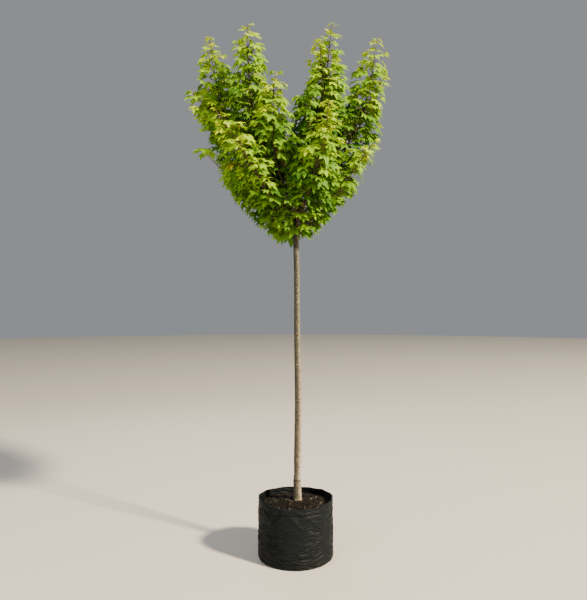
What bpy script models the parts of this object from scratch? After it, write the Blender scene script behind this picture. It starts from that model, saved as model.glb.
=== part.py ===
# A young maple grown as a standard: one clear stem with a vase of upright limbs on top, in a soft black
# grow bag filled with bark compost. Metres, +Z up. The origin is the middle of the bag's flat underside,
# its front faces -Y and +X is on the right as seen from there.
import math
import random

import bmesh
import bpy
import numpy as np
from mathutils import Matrix, Vector
from mathutils.bvhtree import BVHTree

CLEARANCE = 0.0003  # between pieces that touch

# Grow bag
BAG_HEIGHT = 0.277
BAG_FOOT_RADIUS = 0.1755
BAG_RIM_RADIUS = 0.1700
BAG_WALL = 0.0020
BAG_CORNER = 0.0060  # rounding where the side meets the underside
HEM_DEPTH = 0.0330
HEM_PROUD = 0.0018  # how far the folded hem stands out from the side
HEM_SLOPE = 0.0020  # height of the hem's lower edge
RIM_ROUNDING = 0.0015
BAG_FLARE = 0.6  # under 1 the widening is nearest to the foot
BAG_STEPS = 32

# Compost
COMPOST_EDGE = 0.247  # height where it meets the bag
BAG_STATIONS = (0.010, 0.080, 0.165, COMPOST_EDGE)  # heights that shape the bag's side, up to the compost
COMPOST_TOP = 0.264  # height of the flat spot that the stem rises from
COMPOST_FLAT = 0.026  # radius of that spot

# Clear stem: (height, across, back, radius) down its middle, from the cut at ground level to the head
STEM_COURSE = (
    (COMPOST_TOP + CLEARANCE, 0.0104, 0.000, 0.0215),
    (0.272, 0.0103, 0.000, 0.0200),
    (0.290, 0.0098, 0.001, 0.0189),
    (0.345, 0.0080, 0.002, 0.0184),
    (0.353, 0.0077, 0.002, 0.0187),
    (0.360, 0.0076, 0.002, 0.0172),
    (0.450, 0.0092, 0.003, 0.0168),
    (0.560, 0.0108, 0.003, 0.0164),
    (0.700, 0.0124, 0.001, 0.0158),
    (0.860, 0.0105, -0.002, 0.0150),
    (1.020, 0.0076, -0.003, 0.0141),
    (1.200, 0.0069, -0.001, 0.0134),
    (1.380, 0.0049, 0.001, 0.0131),
    (1.480, 0.0018, 0.002, 0.0134),
    (1.530, 0.0008, 0.002, 0.0152),
    (1.590, 0.0004, 0.001, 0.0150),
    (1.625, 0.0000, 0.000, 0.0118),
    (1.634, 0.0000, 0.000, 0.0070),
)
STEM_SIDES = 5  # bevel resolution, which makes 14 sides

# Limbs of the head: height of the root on the stem, tip, share of its reach that the limb has made half way
# up, radius at the root, length that stays bare, and the forks, each as (share of the limb where it leaves,
# its tip)
LIMBS = {
    "left_tall": dict(root=1.590, tip=(-0.220, -0.080, 2.470), swing=1.00, girth=0.0064, bare=0.130),
    "right_tall": dict(
        root=1.588,
        tip=(0.171, 0.000, 2.500),
        swing=0.60,
        girth=0.0066,
        bare=0.130,
        forks=((0.55, (0.114, -0.040, 2.382)),),
    ),
    "far_left": dict(
        root=1.558,
        tip=(-0.417, 0.090, 2.470),
        swing=0.90,
        girth=0.0060,
        bare=0.130,
        forks=((0.40, (-0.480, -0.020, 2.170)),),
    ),
    "far_right": dict(
        root=1.554,
        tip=(0.390, 0.060, 2.446),
        swing=0.85,
        girth=0.0060,
        bare=0.130,
        forks=((0.55, (0.405, -0.030, 2.230)),),
    ),
    "middle": dict(root=1.616, tip=(-0.088, -0.130, 2.225), swing=1.55, girth=0.0050, bare=0.095),
    "back_left": dict(root=1.590, tip=(-0.190, 0.290, 2.360), swing=0.95, girth=0.0056, bare=0.130),
    "back_right": dict(root=1.612, tip=(0.180, 0.290, 2.390), swing=0.95, girth=0.0056, bare=0.130),
    "front_left": dict(
        root=1.560,
        tip=(-0.235, -0.280, 1.880),
        swing=0.70,
        girth=0.0050,
        bare=0.095,
        forks=((0.42, (-0.350, -0.190, 2.040)),),
    ),
    "front_right": dict(root=1.563, tip=(0.140, -0.290, 2.040), swing=0.80, girth=0.0050, bare=0.095),
    "low_left": dict(root=1.527, tip=(-0.420, -0.080, 1.886), swing=0.55, girth=0.0046, bare=0.095),
    "low_right": dict(root=1.527, tip=(0.360, -0.080, 1.930), swing=0.60, girth=0.0046, bare=0.095),
    "back_low": dict(root=1.560, tip=(0.010, 0.340, 2.000), swing=0.70, girth=0.0046, bare=0.095),
    "back_low_left": dict(root=1.524, tip=(-0.275, 0.220, 1.900), swing=0.60, girth=0.0046, bare=0.095),
    "back_low_right": dict(root=1.524, tip=(0.290, 0.210, 1.920), swing=0.60, girth=0.0046, bare=0.095),
}
# Short shoots that clothe the foot of the head, straight off the stem: (height, turn about it, reach, rise)
SKIRT = {
    "skirt_left": (1.500, 204, 0.115, 0.075),
    "skirt_right": (1.503, -22, 0.110, 0.075),
    "skirt_front": (1.512, -86, 0.120, 0.075),
    "skirt_back_left": (1.495, 125, 0.115, 0.075),
    "skirt_back_right": (1.498, 52, 0.115, 0.075),
}
SKIRT_GIRTH = 0.0028
SKIRT_ROOT = 0.012  # how far their roots run into the stem before they are cut to it
SKIRT_POINTS = 10
LIMB_POINTS = 18
LIMB_CROWDING = 1.6  # how much the points of a limb crowd towards its root
LIMB_WAVER = 0.006
CROTCH_REACH = 0.026  # how far a limb first swings out from the stem before it turns up
CROTCH_RISE = 0.030
TIP_RADIUS = 0.0020
COLLAR_SWELL = 0.25  # how much thicker a bough is at its root, over its collar
COLLAR_LENGTH = 0.035
BOUGH_SPACING = 0.028  # between the points of a bough's course
STEM_SPACING = 0.090  # and of the stem inside a mass
STEM_JOINT = 0.012  # its first step
FORK_GIRTH = 0.75  # against its limb
FORK_POINTS = 8

# Foliage. The leaves are larger than life, each standing for a few. A shoot widens below its tip.
TIP_REACH = 0.045  # how far leaves reach out around a shoot's tip
FULL_REACH = 0.150  # and where it is widest
FULL_BELOW = 0.50  # which is this far below the tip
SOFT_REACH = 0.020  # a leaf's own tip may stand this much further out
DIRECT_BELOW = 0.170  # down to here leaves grow straight from the shoot, and then from side twigs
FIRST_PAIR = 0.020  # from the start of a shoot
LAST_PAIR = 0.012  # from its tip
LEAF_SUNK = 0.003  # how far down the end of a shoot or twig its end leaves grow
PAIR_SPACING = 0.068  # between the pairs of leaves near a tip
SHORT_SPACING = 0.026  # and up a short shoot
TWIG_SPACING = 0.104  # between the pairs of side twigs
TWIG_RADIUS = 0.0028
TWIG_SHARE = 0.72  # the most that it may be of its shoot's radius
TWIG_ANGLE = math.radians(55)
PAIR_PLACE = 0.7  # share of a side twig at which its pair of leaves grows
LEAF_LENGTH = 0.120  # of the largest blades
LEAF_YOUNG = 0.46  # size of the blades at a shoot's tip, against the largest
LEAF_GROWN = 0.30  # how far below the tip they are full-grown
LEAF_SKIRT = 0.55  # size on the short shoots
LEAF_THICKNESS = 0.032  # at the palm. From here on, lengths are against the blade's
LEAF_ARCH = 0.060  # how far the palm stands above the foot
LEAF_SAG = 0.10  # how far the middle lobe's tip hangs below it
PALM = 0.28  # from the foot to the palm
STALK = 0.26
STALK_WIDTH = 0.014  # half of it at the blade
STALK_ROOT = 0.005  # and at its root
# One half of a blade with five lobes, from its foot to the middle lobe's tip
HALF_BLADE = ((0.00, STALK_WIDTH), (-0.03, 0.35), (0.48, 0.54), (0.46, 0.17))
LEAF_TRIES = 14
LEAF_SHRINK = 0.035  # how much smaller a leaf gets with each try at finding room for it
# The foot of the head narrows to the stem: (height, radius) up its side, about an upright line
HEAD_SIDE = (
    (1.460, 0.130),
    (1.550, 0.180),
    (1.640, 0.245),
    (1.700, 0.310),
    (1.800, 0.380),
    (1.840, 0.435),
    (1.930, 0.520),
)
HEAD_ACROSS = -0.012
SPACE_MARGIN = 0.0045  # a mass is this much nearer to its own limb than to any other
LIMB_MARGIN = 0.0040
MASS_SEED = 100

COLOURS = {
    "bag": (0.012, 0.012, 0.013, 0.62),
    "compost": (0.030, 0.021, 0.014, 0.95),
    "bark": (0.33, 0.26, 0.17, 0.80),
    "twig_bark": (0.12, 0.075, 0.035, 0.75),
    "leaf": (0.10, 0.19, 0.015, 0.55),
}


def clear_scene():
    for old in list(bpy.data.objects):
        bpy.data.objects.remove(old, do_unlink=True)


def new_collection(name):
    collection = bpy.data.collections.new(name)
    bpy.context.scene.collection.children.link(collection)
    return collection


def new_material(name):
    red, green, blue, roughness = COLOURS[name]
    material = bpy.data.materials.new(name)
    material.use_nodes = True
    shader = material.node_tree.nodes["Principled BSDF"]
    shader.inputs["Base Color"].default_value = (red, green, blue, 1)
    shader.inputs["Roughness"].default_value = roughness
    material.diffuse_color = (red, green, blue, 1)
    return material


def new_object(name, data, collection, material=None):
    made = bpy.data.objects.new(name, data)
    collection.objects.link(made)
    if material is not None:
        made.data.materials.append(material)
    return made


def as_mesh(obj, weld=True):
    # Swaps a curve, or a mesh with modifiers, for the plain mesh that it makes. A curve's caps are loose,
    # so they are welded on.
    bpy.context.view_layer.update()
    graph = bpy.context.evaluated_depsgraph_get()
    mesh = bpy.data.meshes.new_from_object(obj.evaluated_get(graph))
    if weld:
        shape = bmesh.new()
        shape.from_mesh(mesh)
        bmesh.ops.remove_doubles(shape, verts=shape.verts, dist=1e-6)
        bmesh.ops.recalc_face_normals(shape, faces=shape.faces)
        shape.to_mesh(mesh)
        shape.free()
    name = obj.name
    collection = obj.users_collection[0]
    matrix = obj.matrix_world.copy()
    bpy.data.objects.remove(obj, do_unlink=True)
    made = new_object(name, mesh, collection)
    made.matrix_world = matrix
    return made


# Turned pieces: the bag and the compost


def turned(name, profile, collection, material):
    # The profile runs down its outer side and is turned about Z
    mesh = bpy.data.meshes.new(name)
    points = [(radius, 0, height) for radius, height in profile]
    mesh.from_pydata(points, [(i, i + 1) for i in range(len(points) - 1)], [])
    made = new_object(name, mesh, collection, material)
    screw = made.modifiers.new("turn", "SCREW")
    screw.steps = BAG_STEPS
    screw.render_steps = BAG_STEPS
    screw.use_merge_vertices = True
    screw.merge_threshold = 0.00005
    screw.use_smooth_shade = True
    return made


def bag_side(height):
    # The bag widens a little towards its foot
    return BAG_RIM_RADIUS + (BAG_FOOT_RADIUS - BAG_RIM_RADIUS) * (1 - height / BAG_HEIGHT) ** BAG_FLARE


def bag_lining(inset):
    # Up the inner side of the bag from the edge of its floor, or the side of what fills it
    foot = [(bag_side(0) - BAG_CORNER - inset, BAG_WALL + inset)]
    return foot + [(bag_side(height) - BAG_WALL - inset, height) for height in BAG_STATIONS]


def make_bag(collection, material):
    hem_foot = BAG_HEIGHT - HEM_DEPTH
    outside = [
        (bag_side(BAG_HEIGHT) + HEM_PROUD, BAG_HEIGHT - RIM_ROUNDING),
        (bag_side(hem_foot) + HEM_PROUD, hem_foot + HEM_SLOPE),
        (bag_side(hem_foot), hem_foot),
    ]
    outside += [(bag_side(height), height) for height in reversed(BAG_STATIONS[1:-1])]
    foot = bag_side(0)
    for step in range(4):
        turn = math.radians(30 * step)
        outside.append(
            (foot - BAG_CORNER * (1 - math.cos(turn)), BAG_CORNER * (1 - math.sin(turn)))
        )
    inside = [(0, BAG_WALL), *bag_lining(0), (bag_side(BAG_HEIGHT) - BAG_WALL, BAG_HEIGHT - RIM_ROUNDING)]
    rim = [(bag_side(BAG_HEIGHT), BAG_HEIGHT)]
    return turned("grow_bag", inside + rim + outside + [(0, 0)], collection, material)


def make_compost(collection, material):
    # A low mound that fills the bag, flat where the stem stands on it
    top = [(0, COMPOST_TOP), (COMPOST_FLAT, COMPOST_TOP)]
    for share in (0.25, 0.5, 0.75, 1.0):
        radius = COMPOST_FLAT + share * (bag_lining(CLEARANCE)[-1][0] - COMPOST_FLAT)
        fall = (COMPOST_TOP - COMPOST_EDGE) * (1 - math.cos(math.pi * share)) / 2
        top.append((radius, COMPOST_TOP - fall))
    side = list(reversed(bag_lining(CLEARANCE)))[1:]
    foot = [(0, BAG_WALL + CLEARANCE)]
    return turned("compost", top + side + foot, collection, material)


# Courses of limbs


def course_of(points):
    return [Vector(point) for point in points]


def lengths_along(course):
    total = [0.0]
    for start, end in zip(course, course[1:]):
        total.append(total[-1] + (end - start).length)
    return total


def at_length(course, along):
    # The place and the direction at a length along a course
    total = lengths_along(course)
    along = min(max(along, 0.0), total[-1])
    index = 0
    while index < len(course) - 2 and total[index + 1] < along:
        index += 1
    start, end = course[index], course[index + 1]
    step = (end - start).normalized()
    return start + step * (along - total[index]), step


def stretch(course, start, end, spacing):
    # Evenly spaced points of a course between two lengths along it
    count = max(2, round((end - start) / spacing) + 1)
    return [at_length(course, start + (end - start) * i / (count - 1))[0] for i in range(count)]


def bow(start, turn, end, count, crowding=1.0):
    # A quadratic Bezier curve, whose points may crowd towards its start
    made = []
    for i in range(count):
        t = (i / (count - 1)) ** crowding
        made.append(start * (1 - t) ** 2 + turn * 2 * t * (1 - t) + end * t * t)
    return made


def stem_at(height):
    # The stem's middle and radius at a height
    for low, high in zip(STEM_COURSE, STEM_COURSE[1:]):
        if height <= high[0]:
            share = (height - low[0]) / (high[0] - low[0])
            across, back, radius = (low[i] + (high[i] - low[i]) * share for i in (1, 2, 3))
            return Vector((across, back, height)), radius
    return Vector((STEM_COURSE[-1][1], STEM_COURSE[-1][2], height)), STEM_COURSE[-1][3]


def limb_course(limb, seed):
    # Out from the stem's middle, then turning upright, with a slight waver
    start, _ = stem_at(limb["root"])
    tip = Vector(limb["tip"])
    rise = tip - start
    turn = start + Vector((rise.x * limb["swing"], rise.y * limb["swing"], rise.z * 0.5))
    course = bow(start, turn, tip, LIMB_POINTS, LIMB_CROWDING)
    out = Vector((rise.x, rise.y, 0)).normalized()
    phase = random.Random(seed).uniform(0, math.tau)
    for point in course:
        share = (point.z - start.z) / rise.z
        crotch = 1 - math.exp(-share * rise.z / CROTCH_RISE)
        point += out * CROTCH_REACH * crotch * (1 - share)
        swell = LIMB_WAVER * math.sin(math.pi * share)
        point.x += swell * math.sin(phase + 9 * share)
        point.y += swell * math.cos(phase + 7 * share)
    return course


def skirt_course(height, turn, reach, rise):
    # Out from the stem's middle and up, the tip nodding
    start, _ = stem_at(height)
    out = Vector((math.cos(math.radians(turn)), math.sin(math.radians(turn)), 0)) * reach
    tip = start + out + Vector((0, 0, rise))
    return bow(start, start + out * 0.5 + Vector((0, 0, rise * 0.85)), tip, SKIRT_POINTS)


def fork_course(course, share, tip):
    # A fork leaves along its limb and turns upright too
    length = lengths_along(course)[-1]
    start, along = at_length(course, length * share)
    tip = Vector(tip)
    reach = (tip - start).length
    return bow(start, start + along * reach * 0.25 + (tip - start) * 0.30, tip, FORK_POINTS)


# Pieces of wood


def make_limb(name, course, radii, collection, material, resolution):
    curve = bpy.data.curves.new(name, "CURVE")
    curve.dimensions = "3D"
    curve.bevel_depth = 1
    curve.bevel_resolution = resolution
    curve.use_fill_caps = True
    line = curve.splines.new("POLY")
    line.points.add(len(course) - 1)
    for point, place, radius in zip(line.points, course, radii):
        point.co = (*place, 1)
        point.radius = radius
    return new_object(name, curve, collection, material)


def make_stem(name, collection, material, grow=0.0):
    # The stem itself or, with grow, the cutter that seats the boughs on it
    course = course_of((across, back, height) for height, across, back, _ in STEM_COURSE)
    # The lowest two points are in line, so the foot is cut level
    course[1] = Vector((course[0].x, course[0].y, course[1].z))
    radii = [radius + grow for _, _, _, radius in STEM_COURSE]
    if grow:
        course[-1].z += grow
    return make_limb(name, course, radii, collection, material, STEM_SIDES)


def limb_radius(limb, share):
    return limb["girth"] + (TIP_RADIUS - limb["girth"]) * share**0.8


def seat(root, cutter):
    # Cuts the root of a bough or shoot to the stem's side
    cut = root.modifiers.new("seat on the stem", "BOOLEAN")
    cut.operation = "DIFFERENCE"
    cut.object = cutter


def make_bough(name, limb, course, cutter, collection, material):
    length = lengths_along(course)[-1]
    points = stretch(course, 0, limb["bare"], BOUGH_SPACING)
    radii = []
    for i in range(len(points)):
        along = limb["bare"] * i / (len(points) - 1)
        collar = 1 + COLLAR_SWELL * max(0.0, 1 - along / COLLAR_LENGTH)
        radii.append(limb_radius(limb, along / length) * collar)
    bough = as_mesh(make_limb("bough_" + name, points, radii, collection, None, 1))
    bough.data.materials.append(material)
    seat(bough, cutter)
    return bough


# Foliage


def leaf_outline():
    # The stalk's root, one side of the blade, its tip and the other side
    right = [(STALK + x, -y) for x, y in HALF_BLADE]
    left = [(x, -y) for x, y in reversed(right)]
    return [(0, -STALK_ROOT), *right, (STALK + 1, 0), *left, (0, STALK_ROOT)]


def leaf_point(x, y):
    return Vector((x, y, -LEAF_SAG * max(0.0, x - STALK) ** 2))


def make_leaf_mesh(material):
    # Two fans, one over the palm and one under it, that meet at the outline. The stalk has three sides, and
    # its ridge runs up to the palm.
    outline = leaf_outline()
    shape = bmesh.new()
    bmesh.ops.create_circle(shape, segments=len(outline), radius=1, cap_ends=True)
    ring = sorted(shape.verts, key=lambda vert: math.atan2(vert.co.y, vert.co.x) % math.tau)
    for vert, (x, y) in zip(ring, outline):
        vert.co = leaf_point(x, y)
    poked = bmesh.ops.poke(shape, faces=shape.faces[:])
    poked["verts"][0].co = (STALK + PALM, 0, LEAF_ARCH)
    upper = bmesh.ops.duplicate(shape, geom=shape.verts[:] + shape.edges[:] + shape.faces[:])["geom"]
    for vert in [item for item in upper if isinstance(item, bmesh.types.BMVert)]:
        if vert.co.z > LEAF_ARCH * 0.9:
            vert.co.z += LEAF_THICKNESS
    edges = [item for item in upper if isinstance(item, bmesh.types.BMEdge)]
    root = [edge for edge in edges if max(abs(vert.co.x) for vert in edge.verts) < 1e-6]
    ridge = bmesh.ops.subdivide_edges(shape, edges=root, cuts=1)["geom_inner"]
    for vert in [item for item in ridge if isinstance(item, bmesh.types.BMVert)]:
        vert.co.z += STALK_ROOT * 1.7
    bmesh.ops.remove_doubles(shape, verts=shape.verts, dist=1e-5)
    bmesh.ops.holes_fill(shape, edges=[edge for edge in shape.edges if edge.is_boundary], sides=3)
    bmesh.ops.triangulate(shape, faces=shape.faces)
    bmesh.ops.recalc_face_normals(shape, faces=shape.faces)
    mesh = bpy.data.meshes.new("leaf")
    shape.to_mesh(mesh)
    shape.free()
    mesh.materials.append(material)
    return mesh


def frame_of(axis, facing):
    # The turn that lays +X on an axis and +Z as near as it can to a facing
    x = axis.normalized()
    y = facing.cross(x).normalized()
    z = x.cross(y)
    return Matrix((x, y, z)).transposed()


def side_of(along, turn):
    # A direction square to another, by its angle around it
    across = along.cross(Vector((0, 0, 1)))
    if across.length < 0.05:
        across = Vector((1, 0, 0))
    across.normalize()
    return Matrix.Rotation(turn, 3, along) @ across


def reach_at(below):
    # How far foliage reaches from its shoot at a length below the tip
    return TIP_REACH + (FULL_REACH - TIP_REACH) * min(1.0, below / FULL_BELOW) ** 0.9


class Space:
    # What each mass keeps to: nearer to its own limb and forks than to those of any other mass, within its
    # reach and the head's side, and off the wood

    def __init__(self):
        self.lines = {}
        self.reaches = {}
        self.wood = []

    def add_mass(self, name, courses, grown):
        starts, ends, reaches = [], [], []
        for course in courses:
            total = lengths_along(course)
            starts += [tuple(point) for point in course[:-1]]
            ends += [tuple(point) for point in course[1:]]
            reaches += [FULL_REACH if grown else reach_at(total[-1] - along) for along in total[:-1]]
        self.lines[name] = (np.array(starts), np.array(ends))
        self.reaches[name] = np.array(reaches) + SOFT_REACH

    def add_wood(self, course, radii):
        line = np.array([tuple(point) for point in course])
        self.wood.append((line[:-1], line[1:], np.maximum(radii[:-1], radii[1:])))

    @staticmethod
    def distances(points, starts, ends):
        # From each point to each straight piece
        along = ends - starts
        offset = points[:, None] - starts[None]
        share = (offset * along).sum(2) / np.maximum((along**2).sum(1), 1e-12)
        nearest = starts + np.clip(share, 0, 1)[..., None] * along
        return np.linalg.norm(points[:, None] - nearest, axis=2)

    def holds(self, name, points):
        places = np.array([tuple(point) for point in points])
        heights, radii = zip(*HEAD_SIDE)
        out = np.hypot(places[:, 0] - HEAD_ACROSS, places[:, 1])
        low = places[:, 2] < heights[-1]
        if (out[low] > np.interp(places[low, 2], heights, radii)).any():
            return False
        own = self.distances(places, *self.lines[name])
        nearest = own.min(1)
        if (nearest > self.reaches[name][own.argmin(1)]).any():
            return False
        for other, line in self.lines.items():
            if other != name and (self.distances(places, *line).min(1) < nearest + SPACE_MARGIN).any():
                return False
        for starts, ends, radii in self.wood:
            if (self.distances(places, starts, ends) < radii + LIMB_MARGIN).any():
                return False
        return True


class Mass:
    # One mass of foliage: its stem, side twigs and leaves are closed shapes, which are then all fused

    def __init__(self, name, space, leaf_mesh, materials, seed):
        self.name = name
        self.space = space
        self.leaf_mesh = leaf_mesh
        self.materials = materials
        self.chance = random.Random(seed)
        self.parts = new_collection("parts of " + name)
        self.trees = []
        self.leaves = 0

    def clear_of_own(self, points, faces):
        # Whether a surface crosses none of what the mass has already
        tree = BVHTree.FromPolygons(points, faces)
        if any(tree.overlap(other) for other in self.trees):
            return False
        self.trees.append(tree)
        return True

    def add_leaf(self, root, toward, size):
        # The stalk leaves the twig along toward, and the blade hangs outwards from it
        level = Vector((toward.x, toward.y, 0))
        if level.length < 0.2:
            angle = self.chance.uniform(0, math.tau)
            level = Vector((math.cos(angle), math.sin(angle), 0))
        level.normalize()
        for attempt in range(LEAF_TRIES):
            droop = Vector((0, 0, -self.chance.uniform(0.1, 0.9)))
            facing = Vector((0, 0, 1)) + level
            facing += Vector([self.chance.uniform(-0.4, 0.4) for _ in range(3)])
            turn = frame_of(level * 0.8 + toward * 0.4 + droop, facing)
            if self.place_leaf(root, turn, size * (1 - LEAF_SHRINK * attempt)):
                self.leaves += 1
                return

    def place_leaf(self, root, turn, size):
        rim = [root + turn @ (leaf_point(x, y) * size) for x, y in leaf_outline()[1:-1]]
        palm = root + turn @ (Vector((STALK + PALM, 0, LEAF_ARCH)) * size)
        between = [(a + b) / 2 for a, b in zip(rim, rim[1:])]
        if not self.space.holds(self.name, rim + between + [(palm + point) / 2 for point in rim]):
            return False
        faces = [(0, i, i + 1) for i in range(1, len(rim))]
        if not self.clear_of_own([palm, *rim], faces):
            return False
        leaf = new_object("leaf", self.leaf_mesh, self.parts)
        leaf.matrix_world = Matrix.Translation(root) @ turn.to_4x4() @ Matrix.Scale(size, 4)
        return True

    def add_twig(self, root, end, radius):
        # A three-sided tapering twig, from the middle of what it grows from
        axis = end - root
        if not self.space.holds(self.name, [root + axis * share for share in (0.3, 0.5, 0.75, 1)]):
            return False
        side = Vector((0, 0, radius))
        if not self.clear_of_own([root + axis * 0.15 + side, end, end - side], [(0, 1, 2)]):
            return False
        shape = bmesh.new()
        bmesh.ops.create_cone(
            shape,
            segments=3,
            radius1=radius,
            radius2=min(radius, TIP_RADIUS),
            depth=axis.length,
            cap_ends=True,
            matrix=Matrix.Translation((0, 0, axis.length / 2)),
        )
        mesh = bpy.data.meshes.new("twig")
        shape.to_mesh(mesh)
        shape.free()
        mesh.materials.append(self.materials["twig_bark"])
        twig = new_object("twig", mesh, self.parts)
        turn = axis.to_track_quat("Z", "Y").to_matrix().to_4x4()
        twig.matrix_world = Matrix.Translation(root) @ turn
        return True

    def grow_twig(self, root, heading, length, size, radius):
        # A side twig turns up a little, with a leaf at its end and a pair below it
        end = root + heading * length + Vector((0, 0, length * 0.15))
        leaves = self.leaves
        if not self.add_twig(root, end, radius):
            return
        twig, tree = self.parts.objects[-1], self.trees[-1]
        along = (end - root).normalized()
        self.add_leaf(end - along * LEAF_SUNK, along, size)
        turn = self.chance.uniform(0, math.tau)
        for side in (0, math.pi):
            across = side_of(along, turn + side)
            self.add_leaf(root + (end - root) * PAIR_PLACE, (along * 0.5 + across).normalized(), size)
        if self.leaves == leaves:
            bpy.data.objects.remove(twig, do_unlink=True)
            self.trees.remove(tree)

    def grow(self, course, radii, grown):
        # Pairs of side twigs up a shoot, each pair square to the last, then pairs of leaves to its tip
        total = lengths_along(course)
        length = total[-1]
        turn = self.chance.uniform(0, math.tau)
        along = FIRST_PAIR
        while along < length - LAST_PAIR:
            below = length - along
            place, upward = at_length(course, along)
            size = LEAF_LENGTH * (LEAF_YOUNG + (1 - LEAF_YOUNG) * min(1.0, below / LEAF_GROWN))
            if grown:
                size = LEAF_LENGTH * LEAF_SKIRT
            direct = grown or below < DIRECT_BELOW
            for side in (0, math.pi):
                across = side_of(upward, turn + side + self.chance.uniform(-0.3, 0.3))
                if direct:
                    self.add_leaf(place, (upward * 0.5 + across).normalized(), size)
                    continue
                heading = upward * math.cos(TWIG_ANGLE) + across * math.sin(TWIG_ANGLE)
                reach = (reach_at(below) - size * 0.45) * self.chance.uniform(0.85, 1.15)
                girth = min(TWIG_RADIUS, TWIG_SHARE * np.interp(along, total, radii))
                self.grow_twig(place, heading.normalized(), reach, size, girth)
            turn += math.pi / 2
            along += SHORT_SPACING if grown else PAIR_SPACING if direct else TWIG_SPACING
        place, upward = at_length(course, length - LEAF_SUNK)
        for side in range(3):
            across = side_of(upward, turn + side * math.tau / 3)
            heading = (upward * 1.3 + across * 0.6).normalized()
            self.add_leaf(place, heading, LEAF_LENGTH * (LEAF_SKIRT if grown else LEAF_YOUNG * 0.85))

    def fuse(self, base):
        join = base.modifiers.new("fuse", "BOOLEAN")
        join.operation = "UNION"
        join.operand_type = "COLLECTION"
        join.collection = self.parts
        join.solver = "MANIFOLD"
        made = as_mesh(base, weld=False)
        for part in list(self.parts.objects):
            bpy.data.objects.remove(part, do_unlink=True)
        bpy.data.collections.remove(self.parts)
        return made


def stem_stretch(course, start, girth, tip):
    # The coarse course and the radii of a stem inside a mass, from a length along it to its tip. Its first
    # step is short, so that its end lies square to the bough's.
    length = lengths_along(course)[-1]
    square = start + STEM_JOINT
    points = [at_length(course, start)[0], *stretch(course, square, length, STEM_SPACING)]
    total = lengths_along(points)
    return points, [girth + (tip - girth) * along / total[-1] for along in total]


def make_mass(name, shoots, space, leaf_mesh, materials, seed, collection, cutter=None):
    # The first shoot is the mass's stem and the others are its forks, each as (points, radii). A mass with
    # a cutter is a skirt shoot: it is rooted in the stem, and full-grown.
    mass = Mass(name, space, leaf_mesh, materials, seed)
    points, radii = shoots[0]
    if cutter:
        inwards = (points[0] - points[1]).normalized()
        points = [points[0] + inwards * SKIRT_ROOT, *points]
        radii = [radii[0], *radii]
    base = as_mesh(make_limb("foliage_" + name, points, radii, collection, None, 0))
    base.data.materials.append(materials["twig_bark"])
    base.data.materials.append(materials["leaf"])
    if cutter:
        seat(base, cutter)
    for fork, taper in shoots[1:]:
        branch = as_mesh(make_limb("fork", fork, taper, mass.parts, None, 0))
        branch.data.materials.append(materials["twig_bark"])
    for shoot, taper in shoots:
        mass.grow(shoot, taper, grown=cutter is not None)
    made = mass.fuse(base)
    made.data.calc_loop_triangles()
    print(made.name, mass.leaves, "leaves,", len(made.data.loop_triangles), "triangles")


def skirt_start(course):
    # How far along a skirt shoot the stem's side is cleared
    along = 0.0
    while True:
        place, _ = at_length(course, along)
        middle, radius = stem_at(place.z)
        if (place - middle).length > radius + SKIRT_GIRTH + CLEARANCE:
            return along
        along += CLEARANCE


def main():
    clear_scene()
    tree = new_collection("potted maple")
    cutters = new_collection("cutters")
    materials = {name: new_material(name) for name in COLOURS}
    make_bag(tree, materials["bag"])
    make_compost(tree, materials["compost"])
    make_stem("stem", tree, materials["bark"])
    cutter = as_mesh(make_stem("stem cutter", cutters, None, grow=CLEARANCE))
    cutter.hide_render = True
    cutter.display_type = "WIRE"

    space = Space()
    stem = course_of((across, back, height) for height, across, back, _ in STEM_COURSE)
    space.add_wood(stem, np.array([radius for _, _, _, radius in STEM_COURSE]))
    masses = {}
    for seed, (name, limb) in enumerate(LIMBS.items()):
        course = limb_course(limb, seed)
        length = lengths_along(course)[-1]
        make_bough(name, limb, course, cutter, tree, materials["twig_bark"])
        bare = stretch(course, 0, limb["bare"] - LIMB_MARGIN, BOUGH_SPACING)
        space.add_wood(bare, np.full(len(bare), limb["girth"]))
        shoots = [
            stem_stretch(
                course,
                limb["bare"] + CLEARANCE,
                limb_radius(limb, limb["bare"] / length),
                TIP_RADIUS,
            )
        ]
        for share, tip in limb.get("forks", ()):
            fork = fork_course(shoots[0][0], share, tip)
            shoots.append(stem_stretch(fork, 0, limb_radius(limb, share) * FORK_GIRTH, TIP_RADIUS))
        masses[name] = shoots
        space.add_mass(name, [points for points, _ in shoots], grown=False)
    for name, shoot in SKIRT.items():
        course = skirt_course(*shoot)
        masses[name] = [stem_stretch(course, skirt_start(course), SKIRT_GIRTH, TIP_RADIUS)]
        space.add_mass(name, [masses[name][0][0]], grown=True)

    leaf_mesh = make_leaf_mesh(materials["leaf"])
    for seed, (name, shoots) in enumerate(masses.items()):
        seated = cutter if name in SKIRT else None
        make_mass(name, shoots, space, leaf_mesh, materials, MASS_SEED + seed, tree, seated)


main()
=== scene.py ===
# A young maple grown as a standard, in a black grow bag: the looks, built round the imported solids.
# Metres, +Z up, with the front towards -Y.
import math
import random

import bmesh
import bpy
import numpy as np
from mathutils import Matrix, Vector, noise
from mathutils.bvhtree import BVHTree


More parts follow.
